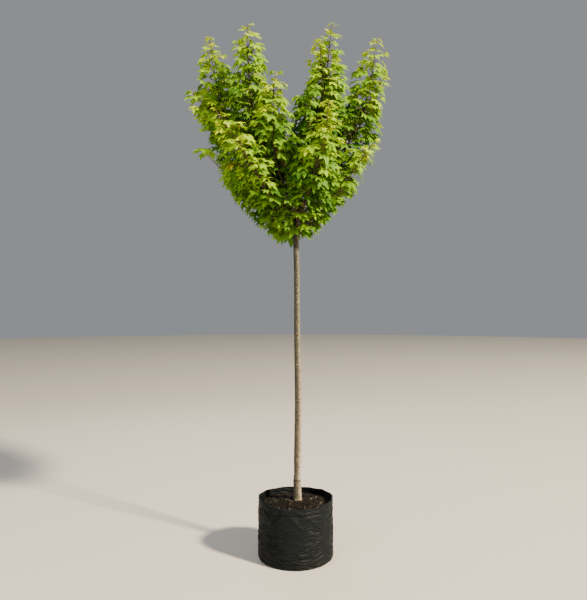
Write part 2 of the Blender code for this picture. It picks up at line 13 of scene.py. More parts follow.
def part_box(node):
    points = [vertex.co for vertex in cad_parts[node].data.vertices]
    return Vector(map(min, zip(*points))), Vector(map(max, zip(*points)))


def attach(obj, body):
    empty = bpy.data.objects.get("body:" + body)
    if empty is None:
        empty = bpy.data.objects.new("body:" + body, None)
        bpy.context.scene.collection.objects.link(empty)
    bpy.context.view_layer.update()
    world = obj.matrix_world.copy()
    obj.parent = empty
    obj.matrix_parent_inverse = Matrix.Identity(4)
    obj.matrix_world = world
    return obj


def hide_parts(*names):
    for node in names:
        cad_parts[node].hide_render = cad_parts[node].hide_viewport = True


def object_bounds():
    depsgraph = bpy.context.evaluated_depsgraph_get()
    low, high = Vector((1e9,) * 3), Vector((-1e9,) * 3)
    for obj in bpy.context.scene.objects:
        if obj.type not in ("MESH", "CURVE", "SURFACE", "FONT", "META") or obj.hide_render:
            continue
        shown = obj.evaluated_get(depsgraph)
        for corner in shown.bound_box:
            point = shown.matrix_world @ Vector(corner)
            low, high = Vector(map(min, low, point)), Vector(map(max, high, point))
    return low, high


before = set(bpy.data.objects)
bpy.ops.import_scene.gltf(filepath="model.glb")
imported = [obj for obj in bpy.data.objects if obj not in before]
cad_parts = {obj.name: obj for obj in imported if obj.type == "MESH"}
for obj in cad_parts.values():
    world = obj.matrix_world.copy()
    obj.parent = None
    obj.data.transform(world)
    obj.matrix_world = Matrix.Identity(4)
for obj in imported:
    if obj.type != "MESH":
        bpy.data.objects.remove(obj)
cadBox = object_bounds()
up = Vector((0, 0, 1))


# Small helpers

def toLinear(hexColour):
    # A colour as a picture editor shows it, such as "a0b040", in the linear values of a shader
    channels = [int(hexColour[i:i + 2], 16) / 255 for i in (0, 2, 4)]
    return [c / 12.92 if c <= 0.04045 else ((c + 0.055) / 1.055) ** 2.4 for c in channels] + [1.0]


def addNode(material, kind, inputs=None, stops=(), **settings):
    # kind is the shader node's type. Settings are its own properties. Inputs are plain values, other nodes'
    # outputs, or other nodes, of which the first output is taken. Stops are a ramp's (place, hex colour).
    node = material.node_tree.nodes.new("ShaderNode" + kind)
    for name, value in settings.items():
        setattr(node, name, value)
    for socket, value in (inputs or {}).items():
        if isinstance(value, bpy.types.Node):
            value = value.outputs[0]
        if isinstance(value, bpy.types.NodeSocket):
            material.node_tree.links.new(value, node.inputs[socket])
        else:
            node.inputs[socket].default_value = value
    for number, (place, colour) in enumerate(stops):
        elements = node.color_ramp.elements
        element = elements[number] if number < len(elements) else elements.new(place)
        element.position, element.color = place, toLinear(colour)
    return node


def newMaterial(name):
    material = bpy.data.materials.new(name)
    material.use_nodes = True
    material.node_tree.nodes.clear()
    return material


def finishMaterial(material, shader):
    addNode(material, "OutputMaterial", {"Surface": shader})
    return material


def newObject(name, data):
    made = bpy.data.objects.new(name, data)
    bpy.context.scene.collection.objects.link(made)
    return made


def newPiece(name, mesh, materials, slot, *nodes):
    # A finished piece, which stands for these solids
    piece = newObject(name, mesh)
    for material in materials:
        mesh.materials.append(material)
    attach(piece, "root")
    if nodes:
        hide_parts(*nodes)
    return piece


def toMesh(form, name):
    # Ends a bmesh, smooth and with its faces outwards
    bmesh.ops.recalc_face_normals(form, faces=form.faces)
    for face in form.faces:
        face.smooth = True
    mesh = bpy.data.meshes.new(name)
    form.to_mesh(mesh)
    form.free()
    return mesh


def ease(value, low, high):
    # 0 below low, 1 above high, and a smooth step between
    share = min(max((value - low) / (high - low), 0.0), 1.0)
    return share * share * (3 - 2 * share)


def ridged(point):
    # Thin crests between broad hollows, from 0 to 1
    return max(0.0, 1 - 2.2 * abs(noise.noise(point)))


def turned(profile, turns):
    # A profile of (radius, height) turned about the upright axis
    form = bmesh.new()
    line = [form.verts.new((radius, 0, height)) for radius, height in profile]
    for pair in zip(line, line[1:]):
        form.edges.new(pair)
    bmesh.ops.spin(
        form,
        geom=form.verts[:] + form.edges[:],
        axis=up,
        cent=(0, 0, 0),
        angle=math.tau,
        steps=turns,
        use_merge=True,
    )
    bmesh.ops.remove_doubles(form, verts=form.verts, dist=1e-6)
    return form


# Grow bag: soft black film, blown and folded over at the rim

bag = {
    "flare": 0.6,  # how close to the foot the widening is
    "footRadius": 0.1755,
    "rimRadius": 0.1700,
    "wall": 0.0020,
    "corner": 0.0100,  # rounding round the foot
    "hemDepth": 0.0330,
    "hemProud": 0.0017,
    "hemFoot": 0.0020,  # height of the fold at its foot
    "rimTop": 0.0018,  # and of the one at the rim
    "crease": 0.0048,  # how deep it is drawn in under the hem
    "creaseHeight": 0.0075,
    "lining": 0.0550,  # how far down inside the film shows
    "turns": 300,  # faces round it
    "rise": 0.0021,  # height of a face
    "slump": 0.0022,  # how far the sides bulge and sink
    "slumpSize": 0.130,
    "freeBelow": 0.012,  # how far below the hem the film comes free
    "pucker": 0.0088,  # depth of the slanting folds under the hem
    "puckerSets": ((6.5, 0.055, 1.0, 0.0), (-5.0, 0.06875, 0.9, 1.7)),  # their slant, size, strength and place
    "puckerFall": 0.100,  # how far down they run
    "wrinkle": 0.0050,  # depth of the level wrinkles
    "wrinkleHeight": 0.0086,
    "wrinkleLength": 0.078,
    "wander": 0.016,  # how far they stray from level
    "wanderSize": 0.060,
    "patchSize": 0.090,  # of the places with more and fewer of them
    "hemPush": 0.0034,  # how uneven the hem is
    "hemCreases": (0.055, 0.017),  # length and height of its long creases
    "hemCrumple": 0.026,  # and the size of the small ones
    "rimLift": 0.0070,  # how much higher the rim is at the sides than behind
    "rimDip": 0.0050,  # and how much lower in front
    "rimSag": 0.0036,  # and how far it sinks in places
    "sagSize": 0.060,
}
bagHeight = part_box("grow_bag")[1].z


def bagRadius(height):
    flare = (1 - min(height / bagHeight, 1.0)) ** bag["flare"]
    return bag["rimRadius"] + (bag["footRadius"] - bag["rimRadius"]) * flare


def bagProfile():
    # From the middle of the underside, up the outside and over the rim, and down the lining
    corner, hemFoot = bag["corner"], bagHeight - bag["hemDepth"]
    foot = bagRadius(0)
    profile = [(foot * share, 0) for share in (0, 0.3, 0.6, 0.8, 0.9)]
    for step in range(7):
        turn = math.radians(15 * step)
        profile.append((foot - corner + corner * math.sin(turn), corner - corner * math.cos(turn)))

    def climb(low, high, rise, outAt, first=0):
        rows = round(abs(high - low) / rise)
        for row in range(first, rows + 1):
            height = low + (high - low) * row / rows
            profile.append((bagRadius(height) + outAt(height), height))

    def drawnIn(height):
        return -bag["crease"] * ease(height, hemFoot - bag["creaseHeight"], hemFoot)

    climb(corner, hemFoot, bag["rise"], drawnIn, first=1)
    profile.append((bagRadius(hemFoot) + bag["hemProud"] * 0.7, hemFoot + 0.0007))
    climb(hemFoot + bag["hemFoot"], bagHeight - bag["rimTop"], bag["rise"], lambda height: bag["hemProud"])
    middle = bagRadius(bagHeight) + (bag["hemProud"] - bag["wall"]) / 2
    half = (bag["hemProud"] + bag["wall"]) / 2
    for step in range(1, 5):
        turn = math.radians(36 * step)
        profile.append((middle + half * math.cos(turn), bagHeight - half + half * math.sin(turn)))
    top = bagHeight - bag["hemFoot"]
    climb(top, top - bag["lining"], bag["rise"] * 1.5, lambda height: -bag["wall"])
    profile.append((0, profile[-1][1]))
    return profile


def bagPush(place):
    # How far the film stands out from its plain shape
    x, y, z = place
    hemFoot = bagHeight - bag["hemDepth"]
    below = max(0.0, hemFoot - z)
    push = bag["slump"] * noise.noise(Vector((x, y, z + 3)) / bag["slumpSize"])
    loose = ease(below, 0.0, bag["freeBelow"])
    folds = 0
    for slant, size, strength, shift in bag["puckerSets"]:
        swirl = Matrix.Rotation(below * slant, 3, "Z") @ Vector((x, y, z * 0.35 + shift))
        folds = max(folds, strength * ridged(swirl / size))
    fade = 1 - ease(below, bag["puckerFall"] * 0.35, bag["puckerFall"])
    push += bag["pucker"] * (folds - 0.45) * loose * fade
    bent = z + bag["wander"] * noise.noise(Vector((x, y, z * 0.5)) / bag["wanderSize"])
    level = Vector((x / bag["wrinkleLength"], y / bag["wrinkleLength"], bent / bag["wrinkleHeight"]))
    lines = ridged(level) + 0.5 * ridged(level * 1.9 + Vector((4, 1, 7)))
    patch = 0.70 + 0.70 * noise.noise(Vector((x, y, z)) / bag["patchSize"] + Vector((0, 9, 0)))
    push += bag["wrinkle"] * (lines - 0.5) * loose * max(0.5, patch) * (1 - 0.45 * fade)
    length, height = bag["hemCreases"]
    crumple = ridged(Vector((x / length, y / length, z / height + 5)))
    crumple += 0.6 * ridged(Vector((x, y, z * 1.6 + 2)) / bag["hemCrumple"])
    push += (1 - loose) * bag["hemPush"] * (crumple - 0.7)
    return push


def makeBag():
    form = turned(bagProfile(), bag["turns"])
    for vert in form.verts:
        radius = Vector((vert.co.x, vert.co.y)).length
        if radius > bag["rimRadius"] * 0.8:
            out = Vector((vert.co.x, vert.co.y, 0)) / radius
            grip = ease(vert.co.z, 0.0, bag["corner"])  # the film lies flat under the foot
            vert.co += out * bagPush(vert.co) * grip
            if vert.co.z > bagHeight - bag["hemDepth"]:
                rise = ease(vert.co.z, bagHeight - bag["hemDepth"], bagHeight)
                lift = bag["rimLift"] * (vert.co.x / radius) ** 2 - bag["rimDip"] * max(0.0, -vert.co.y / radius)
                sag = max(0.0, 0.5 + noise.noise(Vector((vert.co.x, vert.co.y, 0)) / bag["sagSize"]))
                vert.co.z += rise * (lift - bag["rimSag"] * sag)
    return toMesh(form, "grow_bag_film")


def filmMaterial():
    # Black polythene film: a satin skin, finely creased, with a haze of dust near the ground
    material = newMaterial("black polythene film")
    place = addNode(material, "TexCoord").outputs["Object"]
    height = addNode(material, "SeparateXYZ", {0: place}).outputs["Z"]
    cloud, crease = (  # patches 45 mm across, and creases of 6.5 mm
        addNode(material, "TexNoise", {"Vector": place, "Scale": 1 / size, "Detail": detail, "Roughness": rough})
        for size, detail, rough in ((0.045, 4.0, 0.6), (0.0065, 3.0, 0.55))
    )
    nearGround = {"Value": height, "From Min": 0.0, "From Max": 0.05, "To Min": 0.35, "To Max": 0.0}
    low = addNode(material, "MapRange", nearGround)
    haze = addNode(material, "Math", {0: low, 1: cloud}, operation="MULTIPLY")
    tint = addNode(material, "ValToRGB", {0: haze}, [(0.0, "111517"), (0.35, "161616")])
    satin = {"Value": cloud, "From Min": 0.3, "From Max": 0.7, "To Min": 0.44, "To Max": 0.58}
    rough = addNode(material, "MapRange", satin)
    bump = addNode(material, "Bump", {"Height": crease, "Distance": 0.0010, "Strength": 0.60})
    skin = {"Base Color": tint, "Roughness": rough, "Specular IOR Level": 0.08, "Normal": bump}
    return finishMaterial(material, addNode(material, "BsdfPrincipled", skin))


newPiece("grow_bag_film", makeBag(), [filmMaterial()], "bag", "grow_bag")
print("grow bag done")


# Compost: dark peat with bark chips, mounded to the stem

compost = {
    "edge": 0.247,  # height at the bag
    "top": 0.264,
    "flat": 0.026,  # radius of the level spot round the stem
    "turns": 150,
    "rings": 46,
    "lump": 0.0024,  # height of its lumps
    "lumpSizes": (0.030, 0.012),
    "depth": 0.030,
    "batter": 0.014,  # how far its side slopes in below the surface
    "gap": 0.0030,  # between the chips and the film
    "chips": 1900,
    "chipLength": (0.006, 0.020),
    "chipWidth": (0.25, 0.6),  # against its length
    "chipThickness": (0.0012, 0.0030),
    "chipTones": (6, 4, 2.0, 0.9),  # how many of each colour below
    "crumbs": 1700,
    "crumbSize": (0.0025, 0.0060),
    "crumbWidth": (0.6, 1.0),
    "crumbThickness": (0.5, 0.9),  # against its size
    "crumbTones": (6, 3, 1, 0),
    "ragged": (0.10, 0.16, 0.18),  # how uneven they are along, across and through
    "tilt": 0.28,  # how unevenly they lie, in radians
    "sunk": 0.25,  # where the surface stands in them
    "seed": 11,
}
compostRadius = bagRadius(compost["edge"]) - bag["wall"] * 0.8


def compostHeight(x, y):
    share = min(max((math.hypot(x, y) - compost["flat"]) / (compostRadius - compost["flat"]), 0.0), 1.0)
    fall = (compost["top"] - compost["edge"]) * (1 - math.cos(math.pi * share)) / 2
    broad, fine = compost["lumpSizes"]
    lumps = noise.noise(Vector((x, y, 0)) / broad) + 0.6 * noise.noise(Vector((x, y, 4)) / fine)
    return compost["top"] - fall + compost["lump"] * lumps * ease(math.hypot(x, y), 0.02, 0.05)


def makeCompost():
    profile = [(compostRadius * i / compost["rings"], 0) for i in range(compost["rings"] + 1)]
    profile += [(compostRadius - compost["batter"], -compost["depth"]), (0, -compost["depth"])]
    form = turned(profile, compost["turns"])
    for vert in form.verts:
        top = vert.co.z > -0.001
        out = Vector((vert.co.x, vert.co.y, 0))
        if top and out.length > compostRadius * 0.9:
            vert.co += out.normalized() * bagPush((vert.co.x, vert.co.y, compost["edge"]))  # it fills the film
        vert.co.z += compostHeight(vert.co.x, vert.co.y) if top else compost["edge"]
    return toMesh(form, "compost_peat")


def joinedMesh(name, pieces):
    # One mesh of many small ones, each as (points, faces, material index of each face)
    mesh = bpy.data.meshes.new(name)
    count, points, corners, sizes, tones = 0, [], [], [], []
    for piecePoints, pieceFaces, pieceTones in pieces:
        points.append(piecePoints)
        for face in pieceFaces:
            corners.extend(index + count for index in face)
            sizes.append(len(face))
        tones.extend(pieceTones)
        count += len(piecePoints)
    sizes = np.array(sizes, np.int32)
    mesh.vertices.add(count)
    mesh.vertices.foreach_set("co", np.concatenate(points).astype(np.float32).ravel())
    mesh.loops.add(len(corners))
    mesh.loops.foreach_set("vertex_index", np.array(corners, np.int32))
    mesh.polygons.add(len(sizes))
    mesh.polygons.foreach_set("loop_start", np.cumsum(sizes) - sizes)
    mesh.polygons.foreach_set("loop_total", sizes)
    mesh.polygons.foreach_set("material_index", np.array(tones, np.int32))
    mesh.update(calc_edges=True)
    return mesh


def makeChips():
    # Split flakes of bark and round crumbs, lying on the peat and partly sunk in it
    chance = random.Random(compost["seed"])
    boxFaces = [(0, 3, 2, 1), (4, 5, 6, 7), (0, 1, 5, 4), (1, 2, 6, 5), (2, 3, 7, 6), (3, 0, 4, 7)]
    box = np.array([(x, y, z) for z in (-1, 1) for x, y in ((-1, -1), (1, -1), (1, 1), (-1, 1))], float)
    pieces = []
    for index in range(compost["chips"] + compost["crumbs"]):
        flake = index < compost["chips"]
        low, high = compost["chipLength"] if flake else compost["crumbSize"]
        length = low + (high - low) * chance.random() ** 2
        width = length * chance.uniform(*compost["chipWidth" if flake else "crumbWidth"])
        thick = chance.uniform(*compost["chipThickness" if flake else "crumbThickness"]) * (1 if flake else length)
        angle = chance.uniform(0, math.tau)
        reach = (compostRadius - length * 0.62 - compost["gap"]) * math.sqrt(chance.uniform(0.035, 1))
        x, y = reach * math.cos(angle), reach * math.sin(angle)
        points = box * (length / 2, width / 2, thick / 2)
        jitter = np.array([[chance.uniform(-1, 1) for _ in range(3)] for _ in range(8)])
        points += jitter * (length, width, thick) * compost["ragged"]
        spin = Matrix.Rotation(chance.uniform(0, math.tau), 3, "Z")
        tilt = Matrix.Rotation(chance.gauss(0, compost["tilt"]), 3, "Y")
        turn = np.array(spin @ tilt @ Matrix.Rotation(chance.gauss(0, compost["tilt"]), 3, "X"))
        points = points @ turn.T + (x, y, compostHeight(x, y) + thick * compost["sunk"])
        shade = chance.choices(range(4), compost["chipTones" if flake else "crumbTones"])[0]
        pieces.append((points, boxFaces, [shade] * 6))
    return joinedMesh("bark_chips", pieces)


def peatMaterial():
    # Milled peat and fine bark: matt and dark, never quite even
    material = newMaterial("moist peat")
    place = addNode(material, "TexCoord").outputs["Object"]
    grit = {"Vector": place, "Scale": 1 / 0.004, "Detail": 5.0, "Roughness": 0.7}  # grains of 4 mm
    grain = addNode(material, "TexNoise", grit)
    stops = [(0.35, "090706"), (0.55, "120e0b"), (0.75, "1e1812")]
    tint = addNode(material, "ValToRGB", {0: grain}, stops)
    bump = addNode(material, "Bump", {"Height": grain, "Distance": 0.002, "Strength": 0.8})
    matt = {"Base Color": tint, "Roughness": 0.95, "Specular IOR Level": 0.15, "Normal": bump}
    return finishMaterial(material, addNode(material, "BsdfPrincipled", matt))


def plainMaterial(name, colour, roughness, gloss=0.5):
    material = newMaterial(name)
    skin = {"Base Color": toLinear(colour), "Roughness": roughness, "Specular IOR Level": gloss}
    return finishMaterial(material, addNode(material, "BsdfPrincipled", skin))


newPiece("compost_peat", makeCompost(), [peatMaterial()], "compost", "compost")
chipColours = {
    "wet bark chip": "110e0a",
    "brown bark chip": "14100b",
    "dry bark chip": "231d16",
    "split wood chip": "514a3e",
}
chipMaterials = [plainMaterial(name, colour, 0.85, 0.15) for name, colour in chipColours.items()]
newPiece("bark_chips", makeChips(), chipMaterials, "compost")
print("compost done")


# Clear stem: smooth young bark with fine fissures, lenticels, leaf scars and the ring of the old graft

stem = {
    # height, across, back and radius down its middle
    "course": (
        (0.2600, 0.0104, 0.000, 0.0224),
        (0.2660, 0.0104, 0.000, 0.0211),
        (0.2730, 0.0103, 0.000, 0.0199),
        (0.2900, 0.0098, 0.001, 0.0189),
        (0.3450, 0.0080, 0.002, 0.0184),
        (0.3530, 0.0077, 0.002, 0.0187),
        (0.3600, 0.0076, 0.002, 0.0173),
        (0.4500, 0.0092, 0.003, 0.0168),
        (0.5600, 0.0108, 0.003, 0.0164),
        (0.7000, 0.0124, 0.001, 0.0158),
        (0.8600, 0.0105, -0.002, 0.0150),
        (1.0200, 0.0076, -0.003, 0.0141),
        (1.2000, 0.0069, -0.001, 0.0134),
        (1.3800, 0.0049, 0.001, 0.0131),
        (1.4800, 0.0018, 0.002, 0.0134),
        (1.5300, 0.0008, 0.002, 0.0150),
        (1.5900, 0.0004, 0.001, 0.0148),
        (1.6200, 0.0000, 0.000, 0.0125),
        (1.6340, 0.0000, 0.000, 0.0070),
    ),
    "sides": 60,
    "rise": 0.0022,  # height of a face
    "graft": 0.3555,  # height of its ring
    "graftGroove": (0.0028, 0.00120),  # height and depth
    "bands": (0.505, 0.612, 0.733, 0.842, 0.941, 1.048, 1.152, 1.259, 1.361, 1.452),  # where leaves once stood
    "bandSlant": 0.0035,
    "bandSwell": (0.0050, 0.00075),
    "bandCrease": (0.0013, 0.00065),
    "scars": ((0.422, -1.75), (0.389, -1.35), (0.455, 0.6), (0.640, -2.3), (0.812, -1.2), (1.105, -1.9)),
    "scarSize": (0.0042, 0.0034),
    "lenticels": 420,
    "lenticelWidth": (0.0022, 0.0040),
    "lenticelHeight": (0.0009, 0.0015),
    "lenticelRise": 0.00050,
    "bark": 0.00045,  # how uneven its bark is
    "fissure": 0.00024,
    "rootFlare": 0.0016,
    "seed": 5,
}


def smoothTable(rows):
    # Makes a function of height that runs smoothly through rows of (height, values)
    heights = np.array([row[0] for row in rows])
    values = np.array([row[1:] for row in rows])
    slopes = np.gradient(values, heights, axis=0)

    def at(height):
        height = min(max(height, heights[0]), heights[-1])
        i = min(max(int(np.searchsorted(heights, height)) - 1, 0), len(heights) - 2)
        span = heights[i + 1] - heights[i]
        t = (height - heights[i]) / span
        rise = (1 + 2 * t) * (1 - t) ** 2 * values[i] + t * t * (3 - 2 * t) * values[i + 1]
        return rise + span * (t * (1 - t) ** 2 * slopes[i] - t * t * (1 - t) * slopes[i + 1])

    return at


stemAt = smoothTable(stem["course"])


def wrapTube(form, courseAt, radiusAt, sides, rows, length):
    # A grid wrapped round a course. Returns each vertex with its turn and its length along.
    made = bmesh.ops.create_grid(form, x_segments=sides, y_segments=rows, size=1)["verts"]
    side = courseAt(0)[1].orthogonal()
    placed, frames = [], {}
    for vert in made:
        turn, along = (vert.co.x + 1) * math.pi, (vert.co.y + 1) / 2 * length
        row = round((vert.co.y + 1) / 2 * rows)
        if row not in frames:
            middle, heading = courseAt(along)
            side = (side - heading * side.dot(heading)).normalized()
            frames[row] = (middle, side, heading.cross(side))
        middle, first, second = frames[row]
        out = first * math.cos(turn) + second * math.sin(turn)
        vert.co = middle + out * radiusAt(along)
        placed.append((vert, out, turn, along))
    return placed


def closeTube(form):
    # Joins the seam of a wrapped grid and fills its ends
    bmesh.ops.remove_doubles(form, verts=form.verts, dist=1e-6)
    bmesh.ops.holes_fill(form, edges=[edge for edge in form.edges if edge.is_boundary], sides=0)


def makeStem():
    low, high = stem["course"][0][0], stem["course"][-1][0]
    chance = random.Random(stem["seed"])
    rows = round((high - low) / stem["rise"])
    form = bmesh.new()
    for name in ("marks", "lee"):
        form.verts.layers.float.new(name)

    def courseAt(along):
        x, y, _ = stemAt(low + along)
        return Vector((x, y, low + along)), up

    placed = wrapTube(form, courseAt, lambda along: stemAt(low + along)[2], stem["sides"], rows, high - low)
    turns = np.array([turn for _, _, turn, _ in placed])
    heights = np.array([low + along for *_, along in placed])
    marks = np.zeros(len(placed))  # below 0 dark, above 0 pale
    relief = np.zeros(len(placed))

    def spotAt(height, turn, wide, tall, radius):
        offset = (turns - turn + math.pi) % math.tau - math.pi
        return np.exp(-((offset * radius / wide) ** 2) - ((heights - height) / tall) ** 2)

    def ringAt(height, tall):
        return np.exp(-(((heights - height) / tall) ** 2))

    for _ in range(stem["lenticels"]):
        turn, height = chance.uniform(0, math.tau), chance.uniform(low + 0.02, high - 0.08)
        wide, tall = chance.uniform(*stem["lenticelWidth"]), chance.uniform(*stem["lenticelHeight"])
        spot = spotAt(height, turn, wide, tall, 0.0155)
        relief += spot * stem["lenticelRise"]
        marks += spot * 0.55
    for band in stem["bands"]:
        middle = band + stem["bandSlant"] * np.sin(turns + band * 40)
        swell = ringAt(middle, stem["bandSwell"][0])
        crease = ringAt(middle + 0.0035, stem["bandCrease"][0])
        relief += swell * stem["bandSwell"][1] - crease * stem["bandCrease"][1]
        marks -= crease * 0.75
    for height, turn in stem["scars"]:
        spot = spotAt(height, turn, *stem["scarSize"], 0.016)
        relief += spot * 0.0011 - spot**4 * 0.0016
        marks -= spot * 1.0
    ring = ringAt(stem["graft"] + 0.0014 * np.sin(turns * 2 + 1), stem["graftGroove"][0])
    relief -= ring * stem["graftGroove"][1]
    marks -= ring * 1.5
    for (vert, out, turn, along), rise, height in zip(placed, relief, heights):
        old = 1 - ease(height, 0.35, 1.1)
        fissure = noise.noise(Vector((vert.co.x * 420, vert.co.y * 420, height * 38)))
        bark = stem["bark"] * noise.noise(vert.co * 34) + stem["fissure"] * (0.5 + old) * fissure
        flare = stem["rootFlare"] * (1 - ease(height, 0.262, 0.282)) * math.sin(turn * 4 + 1)  # the first roots
        vert.co += out * (rise + bark + flare)
    markLayer, paintedShadeLayer = (form.verts.layers.float[name] for name in ("marks", "lee"))
    for (vert, out, *_), mark in zip(placed, marks):
        vert[markLayer] = float(mark)
        # painted shade: 1 on the side away from the sun (-X) and across the middle, 0 on the sunlit edge
        vert[paintedShadeLayer] = ease(-out.x, -0.80, -0.05)
    closeTube(form)
    return toMesh(form, "stem_bark")


def stemMaterial():
    # Young maple bark: tan and grey below, greener towards the head, with pale lenticels and dark scars, and painted
    # shade, darker and greener, on the side away from the sun
    material = newMaterial("young maple bark")
    place = addNode(material, "TexCoord").outputs["Object"]
    height = addNode(material, "SeparateXYZ", {0: place}).outputs["Z"]
    drawn = addNode(material, "Mapping", {"Vector": place, "Scale": (1.0, 1.0, 0.09)})
    fibre, patch, blotch = (  # fibres 2.2 mm wide, patches of 28 mm and blotches of 7.5 mm
        addNode(material, "TexNoise", {"Vector": where, "Scale": 1 / size, "Detail": detail, "Roughness": rough})
        for where, size, detail, rough in (
            (drawn, 0.0022, 4.0, 0.6),
            (place, 0.028, 4.0, 0.65),
            (place, 0.0075, 3.0, 0.7),
        )
    )
    upTheStem = {"Value": height, "From Min": 0.30, "From Max": 1.55, "To Min": 0.0, "To Max": 0.75}
    share = addNode(material, "MapRange", upTheStem)
    wander = addNode(material, "Math", {0: patch, 1: 0.35, 2: share}, operation="MULTIPLY_ADD")
    stops = [(0.17, "b0a189"), (0.38, "a0937a"), (0.65, "837d62"), (0.95, "63614b")]
    colour = addNode(material, "ValToRGB", {0: wander}, stops).outputs[0]
    darker = addNode(material, "ValToRGB", {0: fibre}, [(0.30, "8c837b"), (0.55, "ffffff")])
    spots = addNode(material, "ValToRGB", {0: blotch}, [(0.40, "877f76"), (0.54, "ffffff")])
    lee, marks = (addNode(material, "Attribute", attribute_name=name).outputs["Fac"] for name in ("lee", "marks"))
    paintedShadeTint = toLinear("838681")  # painted shade: the side away from the sun is darker and greener
    for share, shade in ((0.8, darker), (0.8, spots), (lee, paintedShadeTint)):
        layer = {0: share, 6: colour, 7: shade}
        colour = addNode(material, "Mix", layer, data_type="RGBA", blend_type="MULTIPLY").outputs[2]
    for mark, most, hexColour in ((0.60, 0.55, "c9b795"), (-0.80, 0.95, "1c150f")):
        inputs = {"Value": marks, "From Min": mark / 12, "From Max": mark, "To Min": 0.0, "To Max": most}
        layer = {0: addNode(material, "MapRange", inputs), 6: colour, 7: toLinear(hexColour)}
        colour = addNode(material, "Mix", layer, data_type="RGBA").outputs[2]
    bump = addNode(material, "Bump", {"Height": fibre, "Distance": 0.0005, "Strength": 0.5})
    bark = {"Base Color": colour, "Roughness": 0.78, "Normal": bump}
    return finishMaterial(material, addNode(material, "BsdfPrincipled", bark))


newPiece("stem_bark", makeStem(), [stemMaterial()], "stem_bark", "stem")
print("stem done")


# Limbs: the same courses as the solids', bark all the way to their tips

limbs = {
    # height on the stem, tip, how far it swings out before it rises, radius, and the length of its clear foot
    "left_tall": (1.590, (-0.220, -0.080, 2.470), 1.00, 0.0064, 0.130),
    "right_tall": (1.588, (0.171, 0.000, 2.500), 0.60, 0.0066, 0.130),
    "far_left": (1.558, (-0.417, 0.090, 2.470), 0.90, 0.0060, 0.130),
    "far_right": (1.554, (0.390, 0.060, 2.446), 0.85, 0.0060, 0.130),
    "middle": (1.616, (-0.088, -0.130, 2.225), 1.55, 0.0050, 0.095),
    "back_left": (1.590, (-0.190, 0.290, 2.360), 0.95, 0.0056, 0.130),
    "back_right": (1.612, (0.180, 0.290, 2.390), 0.95, 0.0056, 0.130),
    "front_left": (1.560, (-0.235, -0.280, 1.880), 0.70, 0.0050, 0.095),
    "front_right": (1.563, (0.140, -0.290, 2.040), 0.80, 0.0050, 0.095),
    "low_left": (1.527, (-0.420, -0.080, 1.886), 0.55, 0.0046, 0.095),
    "low_right": (1.527, (0.360, -0.080, 1.930), 0.60, 0.0046, 0.095),
    "back_low": (1.560, (0.010, 0.340, 2.000), 0.70, 0.0046, 0.095),
    "back_low_left": (1.524, (-0.275, 0.220, 1.900), 0.60, 0.0046, 0.095),
    "back_low_right": (1.524, (0.290, 0.210, 1.920), 0.60, 0.0046, 0.095),
}
forks = {  # how far up its limb each one starts, and its tip
    "right_tall": (0.55, (0.114, -0.040, 2.382)),
    "far_left": (0.40, (-0.480, -0.020, 2.170)),
    "far_right": (0.55, (0.405, -0.030, 2.230)),
    "front_left": (0.42, (-0.350, -0.190, 2.040)),
}
skirt = {  # short shoots off the stem: height, turn about it, reach, rise
    "skirt_left": (1.500, 204, 0.115, 0.075),
    "skirt_right": (1.503, -22, 0.110, 0.075),
    "skirt_front": (1.512, -86, 0.120, 0.075),
    "skirt_back_left": (1.495, 125, 0.115, 0.075),
    "skirt_back_right": (1.498, 52, 0.115, 0.075),
}
limb = {
    "points": 36,  # of its course
    "crowding": 1.6,  # how much they crowd towards its foot
    "waver": 0.006,
    "crotchReach": 0.026,  # how far a limb first swings out before it turns up
    "crotchRise": 0.030,
    "tipRadius": 0.0013,
    "skirtGirth": 0.0026,
    "forkGirth": 0.75,
    "collar": 0.75,  # how much thicker it is where it leaves the stem
    "collarStart": 0.012,  # inside the stem's bark
    "collarLength": 0.012,
    "sides": 11,
    "rise": 0.0065,  # height of a face
    "nodeSwell": 0.00055,
    "nodeSpacing": 0.052,
}


def stemPoint(height):
    x, y, _ = stemAt(height)
    return Vector((x, y, height))


def bow(start, turn, end, count, crowding=1.0):
    # A curve from start to end that heads for turn first. Its points may crowd towards the start.
    made = []
    for i in range(count):
        t = (i / (count - 1)) ** crowding
        made.append(start * (1 - t) ** 2 + turn * 2 * t * (1 - t) + end * t * t)
    return made


def limbCourse(root, tip, swing, seed):
    start, tip = stemPoint(root), Vector(tip)
    rise = tip - start
    turn = start + Vector((rise.x * swing, rise.y * swing, rise.z * 0.5))
    course = bow(start, turn, tip, limb["points"], limb["crowding"])
    out = Vector((rise.x, rise.y, 0)).normalized()
    phase = random.Random(seed).uniform(0, math.tau)
    for point in course:
        share = (point.z - start.z) / rise.z
        point += out * limb["crotchReach"] * (1 - math.exp(-share * rise.z / limb["crotchRise"])) * (1 - share)
        swell = limb["waver"] * math.sin(math.pi * share)
        point.x += swell * math.sin(phase + 9 * share)
        point.y += swell * math.cos(phase + 7 * share)
    return course


class Course:
    # A line through points, measured along its length

    def __init__(self, points, radii):
        self.points = points
        self.steps = [0.0]
        for start, end in zip(points, points[1:]):
            self.steps.append(self.steps[-1] + (end - start).length)
        self.length = self.steps[-1]
        self.radii = radii

    def at(self, along):
        # The place and the heading, which turns evenly between the points
        along = min(max(along, 0.0), self.length)
        i = min(max(int(np.searchsorted(self.steps, along)) - 1, 0), len(self.points) - 2)
        t = (along - self.steps[i]) / (self.steps[i + 1] - self.steps[i])
        here = self.points[i + 1] - self.points[i]
        before = self.points[i] - self.points[max(i - 1, 0)] if i else here
        after = self.points[i + 2] - self.points[i + 1] if i + 2 < len(self.points) else here
        heading = (before.normalized() + here.normalized()) * (1 - t) + (here.normalized() + after.normalized()) * t
        return self.points[i] + here * t, heading.normalized()

    def radius(self, along):
        return float(np.interp(along, self.steps, self.radii))


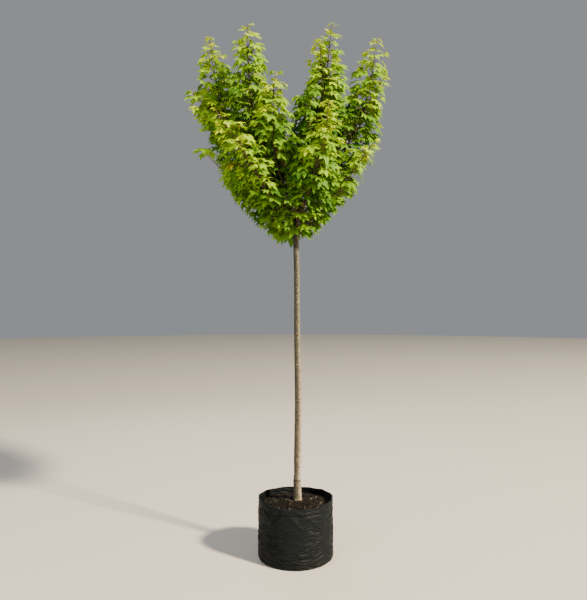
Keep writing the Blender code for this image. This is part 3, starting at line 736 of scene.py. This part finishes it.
def taper(points, girth, tip, power=0.8):
    total = sum((b - a).length for a, b in zip(points, points[1:]))
    radii, along = [], 0.0
    for i, point in enumerate(points):
        along += (point - points[i - 1]).length if i else 0.0
        radii.append(girth + (tip - girth) * (along / total) ** power)
    return Course(points, radii)


def makeCourses():
    # Each mass's limb and forks
    made = {}
    for seed, (name, (root, tip, swing, girth, clear)) in enumerate(limbs.items()):
        main = taper(limbCourse(root, tip, swing, seed), girth, limb["tipRadius"])
        made[name] = [main]
        if name in forks:
            share, tip = forks[name][0], Vector(forks[name][1])
            start = clear + (main.length - clear) * share
            place, heading = main.at(start)
            turn = place + heading * (tip - place).length * 0.25 + (tip - place) * 0.30
            girth = main.radius(start) * limb["forkGirth"]
            made[name].append(taper(bow(place, turn, tip, 16), girth, limb["tipRadius"]))
    for name, (height, turn, reach, rise) in skirt.items():
        start = stemPoint(height)
        out = Vector((math.cos(math.radians(turn)), math.sin(math.radians(turn)), 0)) * reach
        points = bow(start, start + out * 0.5 + up * rise * 0.85, start + out + up * rise, 16)
        made[name] = [taper(points, limb["skirtGirth"], limb["tipRadius"])]
    return made


courses = makeCourses()


def makeLimbs():
    form = bmesh.new()
    for number, shoots in enumerate(courses.values()):
        for course in shoots:
            rows = round(course.length / limb["rise"])
            phase = number * 1.7

            def radiusAt(along):
                collar = 1 + limb["collar"] * math.exp(-max(0.0, along - limb["collarStart"]) / limb["collarLength"])
                node = abs((along + phase * 0.01) % limb["nodeSpacing"] - limb["nodeSpacing"] / 2)
                swell = limb["nodeSwell"] * math.exp(-((node / 0.005) ** 2))
                return course.radius(along) * collar + swell

            part = bmesh.new()
            placed = wrapTube(part, course.at, radiusAt, limb["sides"], rows, course.length)
            for vert, out, _, _ in placed:
                vert.co += out * 0.00030 * noise.noise(Vector((vert.co.x * 160, vert.co.y * 160, vert.co.z * 60)))
            closeTube(part)
            mesh = toMesh(part, "limb")
            form.from_mesh(mesh)
            bpy.data.meshes.remove(mesh)
    return toMesh(form, "limb_bark")


def limbMaterial():
    # Two-year wood: brown with a thin grey skin, redder towards the tips, and darker low in the head as painted
    # shade
    material = newMaterial("young shoot bark")
    place = addNode(material, "TexCoord").outputs["Object"]
    height = addNode(material, "SeparateXYZ", {0: place}).outputs["Z"]
    patch, speck = (  # patches 30 mm across, and specks of 3 mm
        addNode(material, "TexNoise", {"Vector": place, "Scale": 1 / size, "Detail": detail, "Roughness": rough})
        for size, detail, rough in ((0.030, 4.0, 0.65), (0.0030, 3.0, 0.6))
    )
    upTheHead = {"Value": height, "From Min": 1.50, "From Max": 2.45, "To Min": 0.0, "To Max": 0.70}
    share = addNode(material, "MapRange", upTheHead)
    wander = addNode(material, "Math", {0: patch, 1: 0.4, 2: share}, operation="MULTIPLY_ADD")
    # painted shade: the first two stops, low in the head, are darkened for the shade round the head's foot
    stops = [(0.16, "453828"), (0.30, "4a3825"), (0.44, "66492d"), (0.65, "4a3320"), (0.90, "40281b")]
    tint = addNode(material, "ValToRGB", {0: wander}, stops)
    darker = addNode(material, "ValToRGB", {0: speck}, [(0.35, "a09488"), (0.55, "ffffff")])
    layer = {0: 0.8, 6: tint, 7: darker}
    grained = addNode(material, "Mix", layer, data_type="RGBA", blend_type="MULTIPLY").outputs[2]
    bump = addNode(material, "Bump", {"Height": speck, "Distance": 0.0004, "Strength": 0.5})
    bark = {"Base Color": grained, "Roughness": 0.62, "Normal": bump}
    return finishMaterial(material, addNode(material, "BsdfPrincipled", bark))


newPiece("limb_bark", makeLimbs(), [limbMaterial()], "bough_bark", *("bough_" + name for name in limbs))
print("limbs done")


# Leaves: five pointed lobes, folded along their veins

leaf = {
    # lobes on one side, from the middle one: turn, length, and half width at the shoulder
    "lobes": ((0, 1.00, 0.215), (47, 0.84, 0.190)),
    "foot": (103, 0.44),  # turn and length of the lowest lobe
    "sinuses": ((23, 0.55), (74, 0.41), (150, 0.12)),  # the hollows between them
    "fold": 0.26,  # how far the margins stand above or below their veins
    "droop": 0.22,  # how far the tips hang
    "kinds": 8,  # of grown blades
    "youngKinds": 3,
    "stalk": (0.38, 0.62),  # length against the blade's
    "stalkRadius": 0.00085,
    "redStalks": 0.22,  # share of them
    "stalkSides": 4,
    "seed": 21,
}


def polar(turn, length):
    return np.array((length * math.cos(math.radians(turn)), length * math.sin(math.radians(turn))))


def leafKind(chance, young):
    # One blade from its foot, along +X with its upper side to +Z, as points, faces and its outermost points
    points, faces, ends = [(0.0, 0.0)], [], [0]

    def add(place):
        points.append(tuple(place))
        return len(points) - 1

    def flat(turn, length, aside):
        return polar(turn, length) + polar(turn + 90, aside)

    sinuses = {}
    for side in (1, -1):
        for index, (turn, length) in enumerate(leaf["sinuses"]):
            sinuses[side, index] = add(polar(side * turn, length * chance.uniform(0.9, 1.1)))
    for number, (turn, length, shoulder) in enumerate(leaf["lobes"]):
        for side in (0,) if number == 0 else (1, -1):
            heading = turn * (side or 1) + chance.uniform(-3, 3)
            reach = length * chance.uniform(0.94, 1.04)
            veinLow, veinHigh = add(flat(heading, reach * 0.42, 0)), add(flat(heading, reach * 0.68, 0))
            tip = add(flat(heading, reach, chance.uniform(-0.03, 0.03)))
            ends.append(tip)
            for hand in (1, -1):
                if number == 0:
                    hollow = sinuses[hand, 0]
                else:
                    hollow = sinuses[side, 1 if hand == side else 0]
                tooth = add(flat(heading, reach * 0.56, hand * shoulder * chance.uniform(0.9, 1.15)))
                notch = add(flat(heading, reach * 0.60, hand * shoulder * 0.66))
                point = add(flat(heading, reach * 0.78, hand * shoulder * 0.62))
                nick = add(flat(heading, reach * 0.81, hand * shoulder * 0.36))
                half = [(0, hollow, tooth, veinLow), (veinLow, tooth, notch), (veinLow, notch, point, veinHigh)]
                half += [(veinHigh, point, nick), (veinHigh, nick, tip)]
                faces += [face if hand < 0 else face[::-1] for face in half]
    for side in (1, -1):
        turn, length = leaf["foot"]
        vein = add(polar(side * turn, length * 0.5))
        tip = add(polar(side * turn, length * chance.uniform(0.9, 1.08)))
        upper = add(flat(side * turn, length * 0.66, -side * 0.075))
        half = [(0, sinuses[side, 1], upper, vein), (vein, upper, tip), (0, vein, tip, sinuses[side, 2])]
        faces += [face if side < 0 else face[::-1] for face in half]
    points = np.array(points)
    span = np.linalg.norm(points, axis=1)
    bearing = np.degrees(np.abs(np.arctan2(points[:, 1], points[:, 0])))
    veins = np.array([turn for turn, _, _ in leaf["lobes"]] + [leaf["foot"][0]])
    offset = np.sin(np.radians(np.minimum(np.abs(bearing[:, None] - veins).min(1), 45))) * span
    fold = leaf["fold"] * (1.9 if young else chance.uniform(-0.9, 1.2))
    cup = chance.uniform(0.25, 0.55) if young else chance.uniform(-0.16, 0.26)
    height = offset * fold - leaf["droop"] * chance.uniform(0.5, 1.5) * span**2 + cup * np.abs(points[:, 1])
    height += 0.030 * np.array([chance.uniform(-1, 1) for _ in points]) * (span > 0.2)
    return np.column_stack([points, height]), faces, ends


leafChance = random.Random(leaf["seed"])
leafKinds = [leafKind(leafChance, young=False) for _ in range(leaf["kinds"])]
youngKinds = [leafKind(leafChance, young=True) for _ in range(leaf["youngKinds"])]


def tubeArrays(points, radii, sides, tone):
    # A thin tube as points, faces and tones, closed at its tip
    made, faces = [], []
    heading = (points[-1] - points[0]).normalized()
    side = heading.orthogonal().normalized()
    for i, (point, radius) in enumerate(zip(points, radii)):
        step = (points[min(i + 1, len(points) - 1)] - points[max(i - 1, 0)]).normalized()
        side = (side - step * side.dot(step)).normalized()
        other = step.cross(side)
        for k in range(sides):
            turn = math.tau * k / sides
            made.append(point + (side * math.cos(turn) + other * math.sin(turn)) * radius)
    for i in range(len(points) - 1):
        for k in range(sides):
            low, after = i * sides + k, i * sides + (k + 1) % sides
            faces.append((low, after, after + sides, low + sides))
    faces.append(tuple(range((len(points) - 1) * sides, len(points) * sides)))
    return np.array(made), faces, [tone] * len(faces)


# Growth: the solids' rule, with finer twigs and leaves of life size

growth = {
    "tipReach": 0.045,  # how far leaves reach out round a shoot's tip
    "grownReach": 0.080,  # more at a tip with grown leaves
    "fullReach": 0.150,  # and where it is widest
    "fullBelow": 0.50,  # which is this far below the tip
    "skirtReach": 0.095,  # the same for the short shoots at the head's foot
    "softReach": 0.020,  # and how far they may stray beyond
    "spaceStep": 0.045,  # length of the pieces a shoot is measured in
    "overTip": {"left_tall": 0.002},  # how far leaves rise above a limb's tip, where it isn't the usual
    "overUsual": 0.011,
    "directBelow": 0.075,  # down to here leaves grow straight from the shoot, and then from side twigs too
    "firstPair": 0.018,
    "pairSpacing": (0.013, 0.026),  # between pairs of leaves, at a tip and this far below it
    "pairsWidest": 0.120,
    "bareShare": 0.20,  # how much of a limb's clear foot stays bare here
    "bareFork": 0.016,  # and how much of a fork or short shoot
    "twigSpacing": 0.034,
    "skirtSpacing": 0.019,
    "skirtBlade": 1.08,  # how much larger the leaves at the head's foot are
    # how often a leaf that would hide its shoot from the front finds another place, by limb
    "parting": {"front_left": 0.80, "low_left": 0.0},
    "partingUsual": 0.95,
    "twigPairs": 0.024,  # between the pairs of leaves on a side twig
    "twigRadius": 0.0017,  # at its foot
    "twigTip": 0.0008,
    "twigAngle": math.radians(55),
    "longTwig": 0.085,  # twigs longer than this bear spurs
    "spurLength": (0.035, 0.070),
    "spurBelow": 0.60,  # how far up the twig, as a share of it
    "spurShare": 0.75,  # of the places there
    "spurBlade": 0.92,  # size of its leaves, against the twig's
    "insteadShare": 0.60,  # how often a leaf grows where a twig has no room
    "blade": 0.070,  # length of the largest blades
    "young": 0.46,  # size at a tip, against the largest
    "endGrowth": 0.90,  # and how much larger where the tip's leaves are grown
    "grownBelow": 0.30,
    "greenBelow": 0.55,  # how far below a tip the leaves are at their darkest
    "leastAge": {  # 0 where a shoot ends in young leaves, and more where its leaves are grown up to the tip
        "low_left": 0.38,
        "far_left fork": 0.30,
        "back_low": 0.35,
        "back_low_left": 0.40,
        "back_low_right": 0.40,
    },
    "skirtAge": 0.58,
    "skirtEnd": (0.80, 0.50),  # size and age of the leaves at its shoots' ends
    "lowAge": 0.12,  # and how much older, so darker, leaves are in the lowest part of the head: partly real age, partly painted shade
    "lowHeights": (1.60, 2.00),
    "flush": 0.28,  # share of side twigs with young leaves at their ends
    "endYounger": (0.30, 0.08),  # how much younger the end's leaves are with them, and else
    "coppery": 0.003,  # share of side twigs with coppery leaves at their ends
    "toneScatter": 0.55,  # how far a leaf's colour strays from its age's
    "swerve": 0.30,  # how far a pair strays from its turn round the shoot
    "scatter": 0.25,  # how far leaves stray from their places
    "tumble": 0.45,  # and their faces from the light
    "youngHang": (0.1, 0.7),
    "hang": (0.25, 1.25),  # how far leaves hang
    "tries": 11,  # places tried for each leaf
    "shrink": 0.040,  # how much smaller a leaf gets with each try
    "margin": -0.035,  # how far a mass may lean into its neighbour's space
    "woodMargin": 0.003,  # between leaves and wood
    "stemWood": (1.40, 1.63),  # the heights of the stem among the leaves
    "boxMargin": (-0.012, 0.006, 0.006),  # how far leaves may reach beyond the solids' box
    # the foot of the head narrows to the stem: height and radius up its side, about an upright line
    "side": (
        (1.452, 0.085),
        (1.497, 0.125),
        (1.526, 0.150),
        (1.582, 0.202),
        (1.640, 0.262),
        (1.695, 0.310),
        (1.752, 0.345),
        (1.800, 0.348),
        (1.837, 0.365),
        (1.848, 0.430),
        (1.862, 0.490),
        (1.930, 0.520),
    ),
    "sideAcross": -0.020,  # where that line stands
    "cell": 0.075,  # size of the cells in which neighbours are looked up
    "seed": 300,
}
tones = (  # from the youngest leaves to the oldest, and last the coppery ones of new shoots
    ("b0c604", "lime leaf"),
    ("97b906", "yellow-green leaf"),
    ("80a80c", "fresh green leaf"),
    ("6c9714", "bright green leaf"),
    ("558016", "mid green leaf"),
    ("406a16", "green leaf"),
    ("2d5213", "deep green leaf"),
    ("8a8c1c", "coppery young leaf"),
)
sunward = Vector((0.15, -0.50, 0))  # the way the leaves turn their faces


def leastAge(name, number):
    return growth["leastAge"].get(name + (" fork" if number else ""), 0.0)


def bareLength(name, number):
    # Length without leaves at the foot of a mass's limb, which is number 0, or of a fork
    return limbs[name][-1] * growth["bareShare"] if name in limbs and number == 0 else growth["bareFork"]


def reachAt(name, number, below):
    # How far leaves may stand from a shoot, this far below its tip
    if name in skirt:
        return growth["skirtReach"]
    tip = growth["tipReach"] + growth["grownReach"] * leastAge(name, number)
    return tip + (growth["fullReach"] - tip) * min(1.0, below / growth["fullBelow"]) ** 0.9


class Space:
    # Which mass each place belongs to, and where the wood is

    def __init__(self):
        starts, ends, owners, reaches, radii = [], [], [], [], []
        for owner, (name, shoots) in enumerate(courses.items()):
            for number, course in enumerate(shoots):
                count = max(3, round(course.length / growth["spaceStep"]))
                for i in range(count):
                    low, high = course.length * i / count, course.length * (i + 1) / count
                    starts.append(course.at(low)[0])
                    ends.append(course.at(high)[0])
                    owners.append(owner)
                    reach = reachAt(name, number, course.length - high) + growth["softReach"]
                    reaches.append(reach if high > bareLength(name, number) else -1)
                    radii.append(course.radius(low))
        self.starts, self.ends = np.array(starts), np.array(ends)
        self.owners, self.reaches, self.radii = np.array(owners), np.array(reaches), np.array(radii)
        self.living = self.reaches > 0
        heights = np.linspace(*growth["stemWood"], 12)
        line = np.array([tuple(stemPoint(height)) for height in heights])
        self.starts = np.concatenate([self.starts, line[:-1]])
        self.ends = np.concatenate([self.ends, line[1:]])
        self.radii = np.concatenate([self.radii, [stemAt(height)[2] for height in heights[:-1]]])
        margin = np.array(growth["boxMargin"])
        self.low, self.high = np.array(tuple(cadBox[0])) - margin, np.array(tuple(cadBox[1])) + margin
        self.sideHeights, self.sideRadii = np.array(growth["side"]).T
        self.tops = []
        for name, shoots in courses.items():
            over = growth["overTip"].get(name, growth["overUsual"]) if name in limbs else 1
            self.tops.append(max(course.points[-1].z for course in shoots) + over)

    def distances(self, points):
        along = self.ends - self.starts
        offset = points[:, None] - self.starts[None]
        share = np.clip((offset * along).sum(2) / (along**2).sum(1), 0, 1)
        return np.linalg.norm(points[:, None] - (self.starts + share[..., None] * along), axis=2)

    def holds(self, owner, points, clear=True):
        points = np.asarray(points)
        if (points < self.low).any() or (points > self.high).any():
            return False
        if (points[:, 2] > self.tops[owner]).any():
            return False
        out = np.hypot(points[:, 0] - growth["sideAcross"], points[:, 1])
        foot = points[:, 2] < self.sideHeights[-1]
        if (out[foot] > np.interp(points[foot, 2], self.sideHeights, self.sideRadii)).any():
            return False
        away = self.distances(points)
        if clear and (away < self.radii + growth["woodMargin"]).any():
            return False
        count = len(self.owners)
        own = np.where(self.living & (self.owners == owner), away[:, :count], 9)
        other = np.where(self.living & (self.owners != owner), away[:, :count], 9)
        nearest = own.min(1)
        if (nearest > self.reaches[own.argmin(1)]).any():
            return False
        return bool((other.min(1) > nearest + growth["margin"]).all())


class Neighbours:
    # What already grows in each part of the head, so that no leaf cuts through another

    def __init__(self):
        self.cells = {}

    def key(self, place):
        return tuple(int(math.floor(value / growth["cell"])) for value in place)

    def clear(self, tree, place, reach):
        x, y, z = self.key(place)
        for i in (x - 1, x, x + 1):
            for j in (y - 1, y, y + 1):
                for k in (z - 1, z, z + 1):
                    for other, middle, extent in self.cells.get((i, j, k), ()):
                        if (place - middle).length < reach + extent and tree.overlap(other):
                            return False
        return True

    def add(self, tree, place, reach):
        self.cells.setdefault(self.key(place), []).append((tree, place, reach))


space, neighbours = Space(), Neighbours()


def scattered(chance, most):
    return Vector([chance.uniform(-most, most) for _ in range(3)])


def frameOf(axis, facing):
    # A leaf's own axes: along the blade, across it, and out of its upper side
    x = axis.normalized()
    y = facing.cross(x).normalized()
    return Matrix((x, y, x.cross(y))).transposed()


def sideOf(along, turn):
    # A direction square to another, by its angle round it
    across = along.cross(up)
    across = Vector((1, 0, 0)) if across.length < 0.05 else across.normalized()
    return Matrix.Rotation(turn, 3, along) @ across


class Mass:
    # The twigs and leaves of one mass

    def __init__(self, name, owner):
        self.name, self.owner = name, owner
        self.chance = random.Random(growth["seed"] + owner)
        self.lines = [np.array(course.points) for course in courses[name]]
        self.leaves, self.wanted = [], []
        # each twig's course, what it grows from, and how far up it its last leaf is, or 0 for none
        self.twigs, self.parents, self.borne = [], [], []

    def sideAt(self, heading, turn):
        return sideOf(heading, turn + self.chance.uniform(-growth["swerve"], growth["swerve"]))

    def toneOf(self, age, coppery):
        # age is 0 at the tip of a shoot and 1 on old wood
        if coppery:
            return len(tones) - 1
        step = age * (len(tones) - 2) + self.chance.gauss(0, growth["toneScatter"])
        return int(min(max(round(step), 0), len(tones) - 2))

    def hides(self, leafPoints):
        # Whether a leaf covers one of its mass's shoots, seen from the front
        (left, _, _), (right, _, _) = leafPoints.min(0), leafPoints.max(0)
        _, back, height = leafPoints.mean(0)
        for line in self.lines:
            if line[0, 2] < height < line[-1, 2] and back < np.interp(height, line[:, 2], line[:, 1]):
                if left < np.interp(height, line[:, 2], line[:, 0]) < right:
                    return True
        return False

    def wantLeaf(self, root, toward, size, age, hold=None, coppery=False):
        # What holds a leaf or a spur is its twig's number and how far up that it grows
        self.wanted.append((root, toward, size, age, hold, coppery))

    def addLeaf(self, root, toward, size, age, hold, coppery):
        chance = self.chance
        parting = growth["parting"].get(self.name, growth["partingUsual"])
        level = Vector((toward.x, toward.y, 0))
        if level.length < 0.2:
            angle = chance.uniform(0, math.tau)
            level = Vector((math.cos(angle), math.sin(angle), 0))
        level.normalize()
        for attempt in range(growth["tries"]):
            blade = size * (1 - growth["shrink"] * attempt) * chance.uniform(0.92, 1.08)
            stalk = blade * chance.uniform(*leaf["stalk"])
            swing = scattered(chance, growth["scatter"])
            foot = root + (toward * 0.8 + level * 0.45 + swing).normalized() * stalk
            hang = chance.uniform(*growth["youngHang" if age < 0.15 else "hang"])
            axis = level * 0.8 + toward * 0.35 - up * hang + swing
            facing = up + level * 0.7 + sunward + scattered(chance, growth["tumble"])
            turn = frameOf(axis, facing)
            points, faces, ends = chance.choice(youngKinds if age < 0.07 else leafKinds)
            wide = chance.uniform(0.92, 1.10)
            placed = points * (blade, blade * wide, blade) @ np.array(turn).T + np.array(foot)
            if self.hides(placed) and chance.random() < parting:
                continue
            if not space.holds(self.owner, placed[ends]):
                continue
            tree = BVHTree.FromPolygons(placed.tolist(), faces)
            middle = Vector(placed.mean(0))
            extent = blade * 0.75
            if not neighbours.clear(tree, middle, extent):
                continue
            neighbours.add(tree, middle, extent)
            tone = self.toneOf(age, coppery)
            self.leaves.append((placed, faces, [tone] * len(faces)))
            bend = root + (foot - root) * 0.55 + up * stalk * 0.12
            stalkTone = len(tones) + (chance.random() < leaf["redStalks"])  # green or red
            thin = leaf["stalkRadius"] * (0.75 + 0.45 * blade / growth["blade"])
            line = bow(root, bend, foot + turn @ Vector((blade * 0.02, 0, 0)), 4)
            radii = [thin * 1.5, thin, thin * 0.9, thin]
            self.leaves.append(tubeArrays(line, radii, leaf["stalkSides"], stalkTone))
            while hold:
                twig, along = hold
                self.borne[twig] = max(self.borne[twig], along)
                hold = self.parents[twig]
            return

    def addTwig(self, root, heading, length, radius, hold=None):
        # A twig turns up towards its tip. Returns its course and number, or None where there is no room.
        chance = self.chance
        end = root + heading * length + up * length * 0.15
        bend = root + heading * length * 0.55 + scattered(chance, 0.05) * length
        points = bow(root, bend, end, max(4, round(length / 0.014)))
        if not space.holds(self.owner, [points[len(points) // 2], points[-1]], clear=False):
            return None
        if len(points) > 2:
            middle = sum(points, Vector()) / len(points)
            line = points[len(points) // 4:]
            ribbon = [tuple(point) for point in line] + [tuple(point + up * radius) for point in line]
            steps = range(len(line) - 1)
            tree = BVHTree.FromPolygons(ribbon, [(i, i + 1, i + 1 + len(line), i + len(line)) for i in steps])
            if not neighbours.clear(tree, middle, length * 0.6):
                return None
            neighbours.add(tree, middle, length * 0.6)
        course = taper(points, radius, growth["twigTip"], 1.0)
        self.twigs.append(course)
        self.parents.append(hold)
        self.borne.append(0)
        return course, len(self.twigs) - 1

    def builtTwigs(self):
        # Tubes round the twigs that bear leaves, each up to its last leaf
        for course, hold, last in zip(self.twigs, self.parents, self.borne):
            if last:
                count = max(2, int(np.searchsorted(course.steps, last - 0.001)) + 1)
                radii = [girth * (1 + 0.5 * math.exp(-i * 1.5)) for i, girth in enumerate(course.radii[:count])]
                yield tubeArrays(course.points[:count], radii, 5, 1 if hold else 0)

    def dressTwig(self, course, number, size, age, spurs):
        # Pairs of leaves up a twig, each square to the last, spurs on a long one, and three leaves at its end
        chance = self.chance
        turn = chance.uniform(0, math.tau)
        coppery = chance.random() < growth["coppery"]
        younger = growth["endYounger"][0 if chance.random() < growth["flush"] else 1]
        along = min(0.030, course.length * 0.45)
        while along < course.length - 0.010:
            place, heading = course.at(along)
            share = along / course.length
            for side in (0, math.pi):
                across = self.sideAt(heading, turn + side)
                toward = (heading * 0.6 + across).normalized()
                if spurs and share < growth["spurBelow"] and chance.random() < growth["spurShare"]:
                    length = chance.uniform(*growth["spurLength"])
                    out = (heading * 0.7 + across * 0.8).normalized()
                    spur = self.addTwig(place, out, length, growth["twigRadius"] * 0.7, (number, along))
                    if spur:
                        self.dressTwig(*spur, size * growth["spurBlade"], age, spurs=False)
                        continue
                self.wantLeaf(place, toward, size, age - 0.10 * share, (number, along))
            turn += math.pi / 2
            along += growth["twigPairs"] * chance.uniform(0.85, 1.15)
        place, heading = course.at(course.length)
        for side in range(3):
            across = self.sideAt(heading, turn + side * math.tau / 3)
            toward = (heading * 1.1 + across * 0.7).normalized()
            end = (number, course.length)
            self.wantLeaf(place, toward, size * chance.uniform(0.68, 0.92), max(0.0, age - younger), end, coppery)

    def grow(self, number):
        # Leaves and side twigs up the mass's limb, which is number 0, or up a fork
        chance, course = self.chance, courses[self.name][number]
        grown, least = self.name in skirt, leastAge(self.name, number)
        turn = chance.uniform(0, math.tau)
        along = bareLength(self.name, number) + growth["firstPair"]
        while along < course.length - 0.008:
            below = course.length - along
            place, heading = course.at(along)
            mature = 1.0 if grown else max(min(1.0, 2 * least), min(1.0, below / growth["grownBelow"]))
            size = growth["blade"] * (growth["young"] + (1 - growth["young"]) * mature)
            size *= growth["skirtBlade"] if grown else 1
            age = growth["skirtAge"] if grown else max(least, min(1.0, below / growth["greenBelow"]) ** 0.7 * 0.85)
            # partly painted shade: leaves low in the head get older, darker tones
            age = min(1.0, age + growth["lowAge"] * (1 - ease(place.z, *growth["lowHeights"])))
            direct = below < growth["directBelow"] and not grown
            for side in (0, math.pi):
                across = self.sideAt(heading, turn + side)
                beside = across if direct else sideOf(heading, turn + side + math.pi / 2)
                self.wantLeaf(place, (heading * 0.5 + beside).normalized(), size, age)
                if direct:
                    continue
                out = heading * math.cos(growth["twigAngle"]) + across * math.sin(growth["twigAngle"])
                reach = (reachAt(self.name, number, below) - size * 0.45) * chance.uniform(0.80, 1.15)
                girth = min(growth["twigRadius"], 0.7 * course.radius(along))
                twig = self.addTwig(place, out.normalized(), reach, girth)
                if twig:
                    self.dressTwig(*twig, size * chance.uniform(0.88, 1.05), age, spurs=reach > growth["longTwig"])
                elif chance.random() < growth["insteadShare"]:
                    self.wantLeaf(place, (heading * 0.5 + across).normalized(), size, age)
            turn += math.pi / 2
            low, high = growth["pairSpacing"]
            further = growth["skirtSpacing"] if grown else growth["twigSpacing"]
            along += low + (high - low) * min(1.0, below / growth["pairsWidest"]) if direct else further
        place, heading = course.at(course.length)
        for side in range(6):
            across = sideOf(heading, turn + side * math.tau / 6)
            toward = (heading * 1.4 + across * 0.6).normalized()
            if grown:
                size, age = growth["skirtEnd"]
            else:
                size, age = growth["young"] * chance.uniform(0.75, 1.0) + growth["endGrowth"] * least, least
            self.wantLeaf(place, toward, growth["blade"] * size, age)


def leafMaterial(name, colour):
    # A thin leaf blade: a waxy skin over green flesh that lets some light through, yellower than its face
    material = newMaterial(name)
    base = toLinear(colour)
    through = [min(1.0, base[0] * 1.25), min(1.0, base[1] * 1.15), base[2] * 0.5, 1.0]
    wax = {"Base Color": base, "Roughness": 0.50, "Specular IOR Level": 0.13}
    skin = addNode(material, "BsdfPrincipled", wax)
    glow = addNode(material, "BsdfTranslucent", {"Color": through})
    return finishMaterial(material, addNode(material, "MixShader", {0: 0.28, 1: skin, 2: glow}))


leafMaterials = [leafMaterial(name, colour) for colour, name in tones]
leafMaterials += [plainMaterial("green leaf stalk", "8f9a3c", 0.5), plainMaterial("red leaf stalk", "80552f", 0.5)]
twigMaterials = [plainMaterial("brown twig bark", "382a1a", 0.6), plainMaterial("green twig bark", "4f4c24", 0.6)]
masses = [Mass(name, owner) for owner, name in enumerate(courses)]
for mass in masses:
    for number in range(len(courses[mass.name])):
        mass.grow(number)
wanted = [(mass, leafWanted) for mass in masses for leafWanted in mass.wanted]
for mass, leafWanted in sorted(wanted, key=lambda pair: pair[1][3]):  # the youngest, furthest out, find room first
    mass.addLeaf(*leafWanted)
leafCount = twigCount = 0
for mass in masses:
    solid = "foliage_" + mass.name
    pieces = {"leaves_": (mass.leaves, leafMaterials, "foliage")}
    twigs = list(mass.builtTwigs())
    if twigs:
        pieces["twigs_"] = (twigs, twigMaterials, "bough_bark")
    for kind, (parts, materials, slot) in pieces.items():
        piece = newPiece(kind + mass.name, joinedMesh(kind + mass.name, parts), materials, slot, solid)
        piece.data.shade_smooth()
    leafCount += len(mass.leaves) // 2
    twigCount += len(twigs)
print("foliage done:", leafCount, "leaves of", len(wanted), "wanted, on", twigCount, "twigs")


# Floor, light and camera

studio = {
    "floor": "c3bfb7",
    "floorRadius": 19,
    "sky": "e9edf2",
    "skyStrength": 0.34,
    "lens": 37.7,  # mm, on film 36 mm high
    "eye": (-0.0094, -2.962, 1.205),
    "target": (0, 0, 1.7),  # where each light looks
    "lights": (  # name, place, power in watts, width and colour
        ("sun", (11.5, -8.0, 10.95), 11750, 1.5, "ffedcf"),
        ("front fill", (-2.8, -3.4, 3.8), 150, 2.4, "fff8ec"),
        ("back fill", (-1.2, 3.4, 3.2), 60, 2.2, "f4f6ff"),
    ),
}


def makeStudio():
    form = bmesh.new()
    bmesh.ops.create_circle(form, cap_ends=True, segments=64, radius=studio["floorRadius"])
    floor = newObject("floor", toMesh(form, "floor"))
    floor.data.materials.append(plainMaterial("pale floor", studio["floor"], 0.9))
    world = bpy.data.worlds.new("studio")
    world.use_nodes = True
    sky = world.node_tree.nodes["Background"].inputs
    sky["Color"].default_value, sky["Strength"].default_value = toLinear(studio["sky"]), studio["skyStrength"]
    bpy.context.scene.world = world
    target = Vector(studio["target"])
    for name, place, power, width, colour in studio["lights"]:
        light = bpy.data.lights.new(name, "AREA")
        light.energy, light.size, light.color = power, width, toLinear(colour)[:3]
        lamp = newObject(name, light)
        lamp.location = place
        lamp.rotation_euler = (target - Vector(place)).to_track_quat("-Z", "Y").to_euler()
    camera = newObject("camera", bpy.data.cameras.new("camera"))
    camera.data.lens = studio["lens"]
    camera.location = studio["eye"]
    camera.rotation_euler = (math.radians(90), 0, 0)  # level
    bpy.context.scene.camera = camera


makeStudio()
print("studio done")
